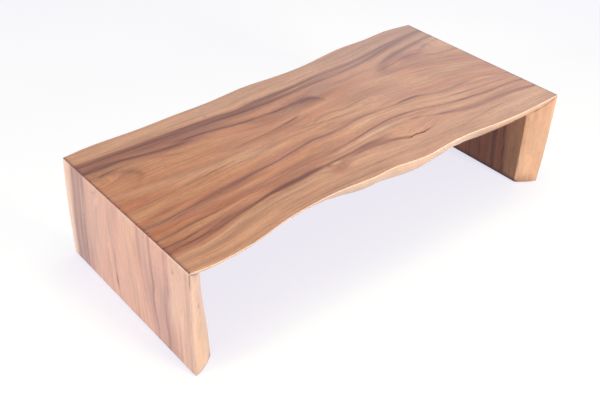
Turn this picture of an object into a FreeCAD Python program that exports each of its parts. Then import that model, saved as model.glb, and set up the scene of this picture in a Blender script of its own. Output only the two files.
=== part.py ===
import FreeCAD, Part
import os
from collections import namedtuple
from FreeCAD import Vector

# Waterfall coffee table: a live-edge plank, mitred and folded down at both ends.
# Millimetres. +X runs along the top, +Y to the back and +Z up.
# The origin is on the floor, under the middle of the top.

# Overall sizes
table_length = 1500.0  # outer face of one leg to outer face of the other
table_width = 725.0  # front datum to back datum, reached by the proudest points of the arrises
table_height = 352.0  # floor to top face
slab_thickness = 76.0  # top and legs alike

# Live edges
front_hollow = 44.0  # deepest hollow of the front edge behind the front datum
back_hollow = 77.0  # deepest hollow of the back edge ahead of the back datum
edge_undercut = 92.0  # most that an inner face falls short of its outer face at an edge
edge_belly = 7.0  # how far an edge swells past a straight bevel at half depth
arris_ease = 3.5  # chamfer where a live edge meets the two faces
fold_flat = 2.0  # width, on each outer face, of the flat that eases a folded corner
foot_flat = 2.0  # chamfer along the inside and outside of a foot

# Loose tenons across each mitre, with rounded edges
tenon_count = 6
tenon_thickness = 10.0
tenon_width = 40.0
tenon_length = 50.0  # half in the top, half in the leg
tenon_depth = 48.0  # middle of a tenon at the mitre, below the outer face
tenon_fit = 0.2  # glue room all round a tenon
tenon_end_room = 0.8  # glue room past each end of a tenon

# Floor glides: a cup let into the foot, a felt disc in the cup and a screw that holds the cup
glide_stand = 2.0  # gap that the felt keeps between foot and floor
glide_inset = 85.0  # middle of a glide, in from the live edge of the foot
cup_radius = 17.0
cup_height = 6.0
cup_floor = 2.6
cup_wall = 2.0
glide_fit = 0.2  # clearance round cup, felt and screw
felt_chamfer = 1.0
screw_head_radius = 3.6
screw_radius = 1.75
screw_length = 22.0
screw_tip = 4.0
pilot_room = 0.6  # room past the tip of the screw

# Where a live edge passes: share of the run, share of the hollow, share of the undercut
Station = namedtuple("Station", "along hollow undercut")

top_front = (
    Station(0.000, 0.14, 0.79),
    Station(0.030, 0.02, 0.84),
    Station(0.080, 0.00, 0.91),
    Station(0.143, 0.21, 0.97),
    Station(0.197, 0.58, 1.00),
    Station(0.250, 0.85, 0.91),
    Station(0.300, 0.97, 0.86),
    Station(0.340, 1.00, 0.76),
    Station(0.387, 0.89, 0.66),
    Station(0.440, 0.76, 0.57),
    Station(0.483, 0.79, 0.55),
    Station(0.523, 0.64, 0.52),
    Station(0.567, 0.46, 0.52),
    Station(0.620, 0.55, 0.48),
    Station(0.670, 0.64, 0.55),
    Station(0.740, 0.52, 0.68),
    Station(0.813, 0.28, 0.69),
    Station(0.893, 0.21, 0.66),
    Station(1.000, 0.30, 0.60),
)
top_back = (
    Station(0.000, 1.00, 0.58),
    Station(0.035, 0.91, 0.58),
    Station(0.170, 0.87, 0.56),
    Station(0.260, 0.78, 0.53),
    Station(0.353, 0.72, 0.52),
    Station(0.440, 0.54, 0.54),
    Station(0.525, 0.56, 0.57),
    Station(0.637, 0.47, 0.60),
    Station(0.725, 0.20, 0.62),
    Station(0.775, 0.12, 0.62),
    Station(0.835, 0.12, 0.60),
    Station(0.920, 0.00, 0.57),
    Station(0.970, 0.08, 0.55),
    Station(1.000, 0.16, 0.54),
)
left_leg_front = (
    Station(0.26, 0.11, 0.75),
    Station(0.52, 0.09, 0.61),
    Station(0.77, 0.04, 0.50),
    Station(1.00, 0.02, 0.44),
)
left_leg_back = (
    Station(0.23, 0.91, 0.56),
    Station(0.64, 0.87, 0.54),
    Station(1.00, 0.92, 0.52),
)
right_leg_front = (
    Station(0.33, 0.27, 0.57),
    Station(0.62, 0.25, 0.55),
    Station(0.85, 0.29, 0.51),
    Station(1.00, 0.33, 0.49),
)
right_leg_back = (
    Station(0.36, 0.20, 0.55),
    Station(0.70, 0.22, 0.56),
    Station(1.00, 0.18, 0.52),
)

# Sizes that follow from those above
half_length = table_length / 2
half_width = table_width / 2
half_thickness = slab_thickness / 2
leg_run = table_height - glide_stand  # top face to foot
section_depths = (0.0, half_thickness, slab_thickness)
overrun = slab_thickness / 4  # sawing allowance past the ends of a blank
felt_radius = cup_radius - cup_wall - glide_fit
felt_top = glide_stand + cup_height - cup_floor
cup_top = glide_stand + cup_height
screw_cone = screw_head_radius - screw_radius
mitre_angle = 45.0
front, back = -1, 1
left, right = -1, 1


def edge_offset(station, hollow, depth):
    """Distance in from the datum to a live edge, at a depth below the outer face."""
    share = depth / slab_thickness
    bevel = station.undercut * edge_undercut * share
    swell = 4 * edge_belly * share * (1 - share)
    return station.hollow * hollow + bevel - swell


def edge_y(station, side, depth):
    """Place across the table of a live edge on the front or back side."""
    hollow = front_hollow if side == front else back_hollow
    return side * (half_width - edge_offset(station, hollow, depth))


def run_past(near, far):
    """Point that carries an edge past its end, in line with its last two points."""
    return near + (near - far) * (overrun / (near - far).Length)


class Slab:
    """One plank with two live edges, held by run (along it), y (across) and depth (through)."""

    def __init__(self, front_edge, back_edge, run_at, place, outline):
        self.edges = {front: front_edge, back: back_edge}
        self.run_at = run_at
        self.place = place
        self.outline = outline

    def edge_curve(self, side, depth):
        """Points of one live edge at one depth, carried past both ends."""
        start, end = self.run_at(depth)
        points = []
        for station in self.edges[side]:
            run = start + station.along * (end - start)
            points.append(self.place(run, edge_y(station, side, depth), depth))
        first = run_past(points[0], points[1])
        last = run_past(points[-1], points[-2])
        return [first] + points + [last]

    def section(self, depth):
        """Closed outline of the blank at one depth."""
        fore = self.edge_curve(front, depth)
        rear = self.edge_curve(back, depth)
        fore_curve = Part.BSplineCurve()
        fore_curve.interpolate(fore)
        rear_curve = Part.BSplineCurve()
        rear_curve.interpolate(rear[::-1])
        return Part.Wire([
            fore_curve.toShape(),
            Part.makeLine(fore[-1], rear[-1]),
            rear_curve.toShape(),
            Part.makeLine(rear[0], fore[0]),
        ])

    def arrises(self, blank):
        """Long edges of the blank, where the live edges meet the outer and inner faces."""
        through = self.place(0, 0, 1) - self.place(0, 0, 0)
        found = []
        for edge in blank.Edges:
            chord = edge.Vertexes[0].Point - edge.Vertexes[-1].Point
            level = abs(chord.dot(through)) < arris_ease
            lengthwise = abs(chord.y) < chord.Length / 2
            if level and lengthwise:
                found.append(edge)
        return found

    def solid(self):
        """The blank with its arrises eased, sawn to its mitres and foot."""
        blank = Part.makeLoft([self.section(depth) for depth in section_depths], True, False)
        eased = blank.makeChamfer(arris_ease, self.arrises(blank))
        corners = [self.place(run, -table_width, depth) for run, depth in self.outline]
        face = Part.Face(Part.makePolygon(corners + corners[:1]))
        return eased.common(face.extrude(Vector(0, 2 * table_width, 0)))


# Saw lines seen along Y, as run and depth: a mitre, and a square foot with chamfers
mitre_line = (
    (slab_thickness + overrun, slab_thickness + overrun),
    (fold_flat / 2, fold_flat / 2),
    (fold_flat + overrun, -overrun),
)
foot_line = (
    (leg_run - foot_flat - overrun, -overrun),
    (leg_run, foot_flat),
    (leg_run, slab_thickness - foot_flat),
    (leg_run - foot_flat - overrun, slab_thickness + overrun),
)


def make_top():
    """Top slab, mitred at both ends."""
    far_mitre = tuple((table_length - run, depth) for run, depth in mitre_line[::-1])
    return Slab(
        top_front,
        top_back,
        lambda depth: (depth, table_length - depth),
        lambda run, y, depth: Vector(run - half_length, y, table_height - depth),
        mitre_line + far_mitre,
    ).solid()


def fold_station(edge, end):
    """Station where the top's live edge turns down into a leg's."""
    station = edge[0] if end == left else edge[-1]
    return station._replace(along=0.0)


def leg_edges(end):
    """Front and back stations of a leg, from the fold down to the foot."""
    own_front = left_leg_front if end == left else right_leg_front
    own_back = left_leg_back if end == left else right_leg_back
    whole_front = (fold_station(top_front, end),) + own_front
    whole_back = (fold_station(top_back, end),) + own_back
    return whole_front, whole_back


def make_leg(end):
    """Leg slab, mitred at the top and square at the foot."""
    front_edge, back_edge = leg_edges(end)
    return Slab(
        front_edge,
        back_edge,
        lambda depth: (depth, leg_run),
        lambda run, y, depth: Vector(end * (half_length - depth), y, table_height - run),
        mitre_line + foot_line,
    ).solid()


def rounded_bar(thickness, width, length):
    """Bar along Z, centred, with its two narrow edges half round."""
    radius = thickness / 2
    reach = width / 2 - radius
    lower, upper = Vector(radius, -reach, 0), Vector(radius, reach, 0)
    far_upper, far_lower = Vector(-radius, reach, 0), Vector(-radius, -reach, 0)
    outline = Part.Wire([
        Part.makeLine(lower, upper),
        Part.Arc(upper, Vector(0, reach + radius, 0), far_upper).toShape(),
        Part.makeLine(far_upper, far_lower),
        Part.Arc(far_lower, Vector(0, -reach - radius, 0), lower).toShape(),
    ])
    bar = Part.Face(outline).extrude(Vector(0, 0, length))
    bar.translate(Vector(0, 0, -length / 2))
    return bar


def across_mitre(bar, end, y):
    """Turn a bar square to a mitre and set it at its depth in the joint."""
    bar.rotate(Vector(0, 0, 0), Vector(0, 1, 0), -end * mitre_angle)
    bar.translate(Vector(end * (half_length - tenon_depth), y, table_height - tenon_depth))
    return bar


def tenon_places(end):
    """Places across a mitre of the tenons, evenly shared between the live edges."""
    start = edge_y(fold_station(top_front, end), front, tenon_depth)
    stop = edge_y(fold_station(top_back, end), back, tenon_depth)
    pitch = (stop - start) / tenon_count
    return [start + (index + 0.5) * pitch for index in range(tenon_count)]


def make_tenon(end, y):
    """Loose tenon, half in the top and half in a leg."""
    return across_mitre(rounded_bar(tenon_thickness, tenon_width, tenon_length), end, y)


def make_mortise(end, y):
    """Room for a tenon and its glue."""
    room = rounded_bar(
        tenon_thickness + 2 * tenon_fit,
        tenon_width + 2 * tenon_fit,
        tenon_length + 2 * tenon_end_room,
    )
    return across_mitre(room, end, y)


def turned(profile, place):
    """Solid turned about an upright axis from a profile of radius and height."""
    points = [Vector(radius, 0, height) for radius, height in profile]
    face = Part.Face(Part.makePolygon(points + points[:1]))
    solid = face.revolve(Vector(0, 0, 0), Vector(0, 0, 1), 360)
    solid.translate(place)
    return solid


def glide_place(end, side):
    """Middle of a glide on the floor."""
    front_edge, back_edge = leg_edges(end)
    foot_station = front_edge[-1] if side == front else back_edge[-1]
    y = edge_y(foot_station, side, half_thickness) - side * glide_inset
    return Vector(end * (half_length - half_thickness), y, 0)


def make_cup(place):
    """Glide cup: a rim round the felt and a floor, countersunk for the screw."""
    inner = cup_radius - cup_wall
    hole = screw_radius + glide_fit
    sink = hole + screw_cone
    return turned([
        (inner, glide_stand),
        (cup_radius, glide_stand),
        (cup_radius, cup_top),
        (hole, cup_top),
        (hole, felt_top + screw_cone),
        (sink, felt_top),
        (inner, felt_top),
    ], place)


def make_felt(place):
    """Felt disc, held by the cup and standing on the floor."""
    return turned([
        (0, 0),
        (felt_radius - felt_chamfer, 0),
        (felt_radius, felt_chamfer),
        (felt_radius, felt_top),
        (0, felt_top),
    ], place)


def make_screw(place):
    """Countersunk screw through the cup floor, up into the foot."""
    shank_end = felt_top + screw_length - screw_tip
    return turned([
        (0, felt_top),
        (screw_head_radius, felt_top),
        (screw_radius, felt_top + screw_cone),
        (screw_radius, shank_end),
        (0, shank_end + screw_tip),
    ], place)


def make_glide_recess(place):
    """Room in a foot for the cup and the screw."""
    room = cup_radius + glide_fit
    pilot = screw_radius + glide_fit
    return turned([
        (0, glide_stand - foot_flat),
        (room, glide_stand - foot_flat),
        (room, cup_top),
        (pilot, cup_top),
        (pilot, felt_top + screw_length + pilot_room),
        (0, felt_top + screw_length + pilot_room),
    ], place)


def build():
    """Every piece of the table by name."""
    pieces = {}
    ends = {"left": left, "right": right}
    sides = {"front": front, "back": back}
    top = make_top()
    for end_name, end in ends.items():
        leg = make_leg(end)
        for number, y in enumerate(tenon_places(end), start=1):
            mortise = make_mortise(end, y)
            top = top.cut(mortise)
            leg = leg.cut(mortise)
            pieces[f"{end_name}_mitre_tenon_{number}"] = make_tenon(end, y)
        for side_name, side in sides.items():
            place = glide_place(end, side)
            leg = leg.cut(make_glide_recess(place))
            glide = f"{end_name}_{side_name}_glide"
            pieces[f"{glide}_cup"] = make_cup(place)
            pieces[f"{glide}_felt"] = make_felt(place)
            pieces[f"{glide}_screw"] = make_screw(place)
        pieces[f"{end_name}_leg"] = leg
    pieces["top_slab"] = top
    return pieces


os.makedirs("parts", exist_ok=True)
for node, shape in build().items():
    shape.exportStep(f"parts/{node}.step")
    print(f"{node}: {len(shape.Solids)} solid, valid {shape.isValid()}, {shape.Volume / 1000:.1f} cm3")
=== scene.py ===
"""Looks of a waterfall coffee table: live-edge slabs, mitred and folded down at both ends, in oiled wood."""

import logging
import math
from dataclasses import dataclass, field
from enum import Enum

import bmesh
import bpy
import numpy as np
from mathutils import Matrix, Vector


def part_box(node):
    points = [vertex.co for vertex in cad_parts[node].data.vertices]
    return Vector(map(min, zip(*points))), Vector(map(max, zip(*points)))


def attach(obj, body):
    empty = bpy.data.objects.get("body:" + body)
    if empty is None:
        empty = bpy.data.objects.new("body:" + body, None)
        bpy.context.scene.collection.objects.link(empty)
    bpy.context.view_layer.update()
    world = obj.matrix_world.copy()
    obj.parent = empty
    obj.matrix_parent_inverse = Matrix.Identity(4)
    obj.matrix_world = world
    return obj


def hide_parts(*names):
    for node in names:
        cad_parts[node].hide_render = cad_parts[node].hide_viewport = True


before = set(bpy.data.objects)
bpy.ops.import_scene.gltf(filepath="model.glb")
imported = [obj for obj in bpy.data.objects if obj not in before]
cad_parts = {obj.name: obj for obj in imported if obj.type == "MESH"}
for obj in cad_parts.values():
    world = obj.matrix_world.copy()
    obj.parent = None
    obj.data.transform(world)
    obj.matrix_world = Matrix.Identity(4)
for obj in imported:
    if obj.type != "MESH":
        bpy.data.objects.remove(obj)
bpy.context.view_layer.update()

log = logging.getLogger("waterfall_table")

Array = np.ndarray
Point = tuple[float, float]
Place = tuple[float, float, float]
Colour = tuple[float, float, float]
StreakPoint = tuple[float, float, float, float, float]
Socket = bpy.types.NodeSocket
Value = Socket | Colour | float
MM = 0.001


class Side(Enum):
    """The two live edges of a slab, by the sign of Y that they face."""

    FRONT = -1
    BACK = 1


class End(Enum):
    """The two ends of the table, by the sign of X."""

    LEFT = -1
    RIGHT = 1


class Tone(Enum):
    """What a mark in the wood does to its colour."""

    DARK = "dark"
    RED = "red"
    PALE = "pale"


class Slot(Enum):
    """Material slots of the record."""

    SLAB = "slab_wood"
    TENON = "tenon_wood"
    PLASTIC = "glide_plastic"
    FELT = "glide_felt"
    STEEL = "screw_steel"


@dataclass(frozen=True)
class Sizes:
    """Sizes of the table in metres, as the solids have them."""

    length: float = 1.500
    width: float = 0.725
    height: float = 0.352
    thickness: float = 0.076
    front_hollow: float = 0.044
    back_hollow: float = 0.077
    undercut: float = 0.092
    belly: float = 0.007
    arris: float = 0.0042
    inner_arris: float = 0.0016
    fold_flat: float = 0.002
    foot_flat: float = 0.002
    stand: float = 0.002

    @property
    def leg_run(self) -> float:
        """Length of a leg, from the top face down to its foot."""
        return self.height - self.stand

    @property
    def overrun(self) -> float:
        """Sawing allowance that carries an edge past its ends."""
        return self.thickness / 4


SIZES = Sizes()


def smooth_line(knots: Array, values: Array, at: Array) -> Array:
    """Draw a smooth line through a few points.

    Args:
        knots: Places of the points, rising.
        values: Heights of the points.
        at: Places to read.

    Returns:
        Heights of the line there, level past both ends.
    """
    slopes = np.gradient(values, knots)
    place = np.clip(at, knots[0], knots[-1])
    index = np.clip(np.searchsorted(knots, place) - 1, 0, len(knots) - 2)
    gap = knots[index + 1] - knots[index]
    u = (place - knots[index]) / gap
    rise = u * u * (3 - 2 * u)
    lean_out = u * (1 - u) ** 2 * gap * slopes[index]
    lean_in = u * u * (u - 1) * gap * slopes[index + 1]
    return values[index] * (1 - rise) + values[index + 1] * rise + lean_out + lean_in


def natural_spline(knots: Array, values: Array, at: Array) -> Array:
    """Read a natural cubic spline, as a batten bent round pins.

    Args:
        knots: Places of the pins, rising.
        values: Heights of the pins.
        at: Places to read.

    Returns:
        Heights of the batten there.
    """
    gaps = np.diff(knots)
    count = len(knots)
    system = np.eye(count)
    right = np.zeros(count)
    for k in range(1, count - 1):
        system[k, k - 1 : k + 2] = gaps[k - 1], 2 * (gaps[k - 1] + gaps[k]), gaps[k]
        right[k] = 6 * ((values[k + 1] - values[k]) / gaps[k] - (values[k] - values[k - 1]) / gaps[k - 1])
    bend = np.linalg.solve(system, right)
    index = np.clip(np.searchsorted(knots, at) - 1, 0, count - 2)
    gap = gaps[index]
    after = (at - knots[index]) / gap
    before = 1 - after
    line = before * values[index] + after * values[index + 1]
    sag = (before**3 - before) * bend[index] + (after**3 - after) * bend[index + 1]
    return line + sag * gap**2 / 6


def smooth_step(value: Array) -> Array:
    """Ease a ramp from 0 to 1."""
    held = np.clip(value, 0, 1)
    return held * held * (3 - 2 * held)


def bell(off: Array, reach: Array | float) -> Array:
    """One where nothing is off, fading away both ways within about twice the reach."""
    return np.exp(-((off / reach) ** 2))


@dataclass(frozen=True)
class Station:
    """Where a live edge passes: shares of the run, of the hollow and of the undercut."""

    along: float
    hollow: float
    undercut: float


def stations(*rows: Place) -> tuple[Station, ...]:
    """Turn rows of shares into stations."""
    return tuple(Station(*row) for row in rows)


TOP_FRONT = stations(
    (0.000, 0.14, 0.79), (0.030, 0.02, 0.84), (0.080, 0.00, 0.91), (0.143, 0.21, 0.97), (0.197, 0.58, 1.00),
    (0.250, 0.85, 0.91), (0.300, 0.97, 0.86), (0.340, 1.00, 0.76), (0.387, 0.89, 0.66), (0.440, 0.76, 0.57),
    (0.483, 0.79, 0.55), (0.523, 0.64, 0.52), (0.567, 0.46, 0.52), (0.620, 0.55, 0.48), (0.670, 0.64, 0.55),
    (0.740, 0.52, 0.68), (0.813, 0.28, 0.69), (0.893, 0.21, 0.66), (1.000, 0.30, 0.60),
)
TOP_BACK = stations(
    (0.000, 1.00, 0.58), (0.035, 0.91, 0.58), (0.170, 0.87, 0.56), (0.260, 0.78, 0.53), (0.353, 0.72, 0.52),
    (0.440, 0.54, 0.54), (0.525, 0.56, 0.57), (0.637, 0.47, 0.60), (0.725, 0.20, 0.62), (0.775, 0.12, 0.62),
    (0.835, 0.12, 0.60), (0.920, 0.00, 0.57), (0.970, 0.08, 0.55), (1.000, 0.16, 0.54),
)
LEFT_LEG_FRONT = stations(
    (0.00, 0.14, 0.79), (0.26, 0.11, 0.75), (0.52, 0.09, 0.61), (0.77, 0.04, 0.50), (1.00, 0.02, 0.44)
)
LEFT_LEG_BACK = stations((0.00, 1.00, 0.58), (0.23, 0.91, 0.56), (0.64, 0.87, 0.54), (1.00, 0.92, 0.52))
RIGHT_LEG_FRONT = stations(
    (0.00, 0.30, 0.60), (0.33, 0.27, 0.57), (0.62, 0.25, 0.55), (0.85, 0.29, 0.51), (1.00, 0.33, 0.49)
)
RIGHT_LEG_BACK = stations((0.00, 0.16, 0.54), (0.36, 0.20, 0.55), (0.70, 0.22, 0.56), (1.00, 0.18, 0.52))


@dataclass(frozen=True)
class LiveEdge:
    """One natural edge of a slab."""

    side: Side
    marks: tuple[Station, ...]
    run: float

    def share_of(self, name: str, along: Array) -> Array:
        """Read one share of the stations, carried past both ends in line with the nearest two.

        Args:
            name: Field of a station.
            along: Shares of the run.

        Returns:
            The share at each place.
        """
        knots = np.array([mark.along for mark in self.marks])
        values = np.array([getattr(mark, name) for mark in self.marks])
        past = SIZES.overrun / self.run
        before = values[0] - past * (values[1] - values[0]) / (knots[1] - knots[0])
        after = values[-1] + past * (values[-1] - values[-2]) / (knots[-1] - knots[-2])
        knots = np.concatenate(([-past], knots, [1 + past]))
        values = np.concatenate(([before], values, [after]))
        return natural_spline(knots, values, along)

    def across(self, along: Array, depth: Array) -> Array:
        """Place of the edge across the table.

        Args:
            along: Shares of the run.
            depth: Depths below the outer face.

        Returns:
            Y of the edge.
        """
        hollow = SIZES.front_hollow if self.side is Side.FRONT else SIZES.back_hollow
        q = depth / SIZES.thickness
        bevel = self.share_of("undercut", along) * SIZES.undercut * q
        swell = 4 * SIZES.belly * q * (1 - q)
        inset = self.share_of("hollow", along) * hollow + bevel - swell
        return self.side.value * (SIZES.width / 2 - inset)


@dataclass(frozen=True)
class Guide:
    """A line that the grain follows, in millimetres along and across, with its place in the even grain."""

    level: float
    points: tuple[Point, ...]

    def across(self, along: Array) -> Array:
        """Y of the line, in metres."""
        knots, values = np.array(self.points).T * MM
        return smooth_line(knots, values, along)


@dataclass(frozen=True)
class Streak:
    """A streak of colour along the grain.

    Each point has its place along and across, its reach to the back and to the front in millimetres, and its
    strength.
    """

    tone: Tone
    points: tuple[StreakPoint, ...]

    def strength(self, along: Array, across: Array) -> Array:
        """How strongly the streak colours each place.

        Args:
            along: Places along the plank, in metres.
            across: Places across the plank, in metres.

        Returns:
            Strengths from 0 to 1.
        """
        columns = np.array(self.points).T
        knots = columns[0] * MM
        middle, behind, ahead = (smooth_line(knots, column * MM, along) for column in columns[1:4])
        power = np.clip(smooth_line(knots, columns[4], along), 0, 1)
        off = across - middle
        reach = np.where(off > 0, behind, ahead)
        inside = (along >= knots[0]) & (along <= knots[-1])
        return np.where(inside, power * bell(off, np.maximum(reach, MM)), 0)


@dataclass(frozen=True)
class Patch:
    """An oval patch of colour, in millimetres: middle, reach along and across, and strength."""

    tone: Tone
    along: float
    across: float
    reach_along: float
    reach_across: float
    power: float

    def strength(self, along: Array, across: Array) -> Array:
        """How strongly the patch colours each place."""
        near = bell(along - self.along * MM, self.reach_along * MM)
        return self.power * near * bell(across - self.across * MM, self.reach_across * MM)


@dataclass(frozen=True)
class EdgeKnot:
    """A small knot or stain on a live edge, in millimetres: its run, depth and reach."""

    side: Side
    run: float
    depth: float
    reach_run: float
    reach_depth: float
    power: float
    tone: Tone = Tone.DARK

    def strength(self, run: Array, across: Array, depth: Array) -> Array:
        """How strongly the knot tints each place on its edge."""
        near = bell(run - self.run * MM, self.reach_run * MM) * bell(depth - self.depth * MM, self.reach_depth * MM)
        return self.power * near * (across * self.side.value > 0)


@dataclass(frozen=True)
class Eye:
    """A rise in the grain that draws its lines into a tongue or an eye, in millimetres."""

    along: float
    across: float
    reach_along: float
    reach_across: float
    rise: float

    def lift(self, along: Array, across: Array) -> Array:
        """How far the even grain is pushed at each place, in metres."""
        near = bell(along - self.along * MM, self.reach_along * MM)
        return self.rise * MM * near * bell(across - self.across * MM, self.reach_across * MM)


@dataclass(frozen=True)
class Figure:
    """The figure of one slab: how its grain runs and what colours it."""

    guides: tuple[Guide, ...]
    sap_back: tuple[Point, ...]
    sap_front: tuple[Point, ...]
    streaks: tuple[Streak, ...]
    patches: tuple[Patch, ...] = ()
    eyes: tuple[Eye, ...] = ()
    inner_front: tuple[Point, ...] = ()
    # Darker, redder inner faces: partly heartwood, partly painted shade where they turn in under the table.
    inner_heartwood_and_painted_shade: float = 0.0
    inner_red: float = 3.3
    # Strength of the rubbed arrises and their painted highlight.
    rub_and_painted_highlight_strength: float = 0.25
    # Paler live edges: partly sapwood, partly painted bounce light from the floor.
    bare: float = 0.36
    # Painted sheen, a pale reflection laid into the colour: its strength at both ends of the run and its rise to the
    # back.
    painted_sheen_start: float = 0.0
    painted_sheen_stop: float = 0.0
    painted_sheen_back: float = 0.0
    sap_edge: float = 4.0
    drift: float = 0.30

    def level(self, along: Array, across: Array) -> Array:
        """Place in the even grain, where every line runs straight.

        Args:
            along: Places along the slab, in metres.
            across: Places across the slab, in metres.

        Returns:
            The place across the even grain, in metres.
        """
        lines = np.stack([guide.across(along) for guide in self.guides])
        levels = np.array([guide.level for guide in self.guides]) * MM
        placed = across + levels[0] - lines[0]
        for k in range(len(self.guides) - 1):
            share = (lines[k] - across) / np.maximum(lines[k] - lines[k + 1], MM)
            between = levels[k] + share * (levels[k + 1] - levels[k])
            placed = np.where(across < lines[k], between, placed)
        placed = np.where(across < lines[-1], across + levels[-1] - lines[-1], placed)
        for eye in self.eyes:
            placed = placed + eye.lift(along, across)
        return placed

    def tone(self, tone: Tone, along: Array, across: Array) -> Array:
        """How strongly one tone colours each place, all its marks together.

        Args:
            tone: The tone.
            along: Places along the slab, in metres.
            across: Places across the slab, in metres.

        Returns:
            Strengths from 0 to 1.
        """
        left_bare = np.ones_like(along)
        for mark in (*self.streaks, *self.patches):
            if mark.tone is tone:
                left_bare *= 1 - np.clip(mark.strength(along, across), 0, 1)
        return 1 - left_bare

    def boundary(self, points: tuple[Point, ...], along: Array) -> Array:
        """Y of a boundary of the sapwood, in metres."""
        knots, line = np.array(points).T * MM
        return smooth_line(knots, line, along)

    def sapwood(self, along: Array, across: Array) -> Array:
        """How far each place lies in the sapwood.

        Args:
            along: Places along the slab, in metres.
            across: Places across the slab, in metres.

        Returns:
            A ramp from 0 to 1, one half at the boundary of the sapwood.
        """
        behind = across - self.boundary(self.sap_back, along)
        ahead = self.boundary(self.sap_front, along) - across
        return np.clip(0.5 + np.maximum(behind, ahead) / (4 * self.sap_edge * MM), 0, 1)


def dark(*points: StreakPoint) -> Streak:
    """A dark streak."""
    return Streak(Tone.DARK, points)


def red(*points: StreakPoint) -> Streak:
    """A red streak."""
    return Streak(Tone.RED, points)


def pale(*points: StreakPoint) -> Streak:
    """A pale streak."""
    return Streak(Tone.PALE, points)


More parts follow.
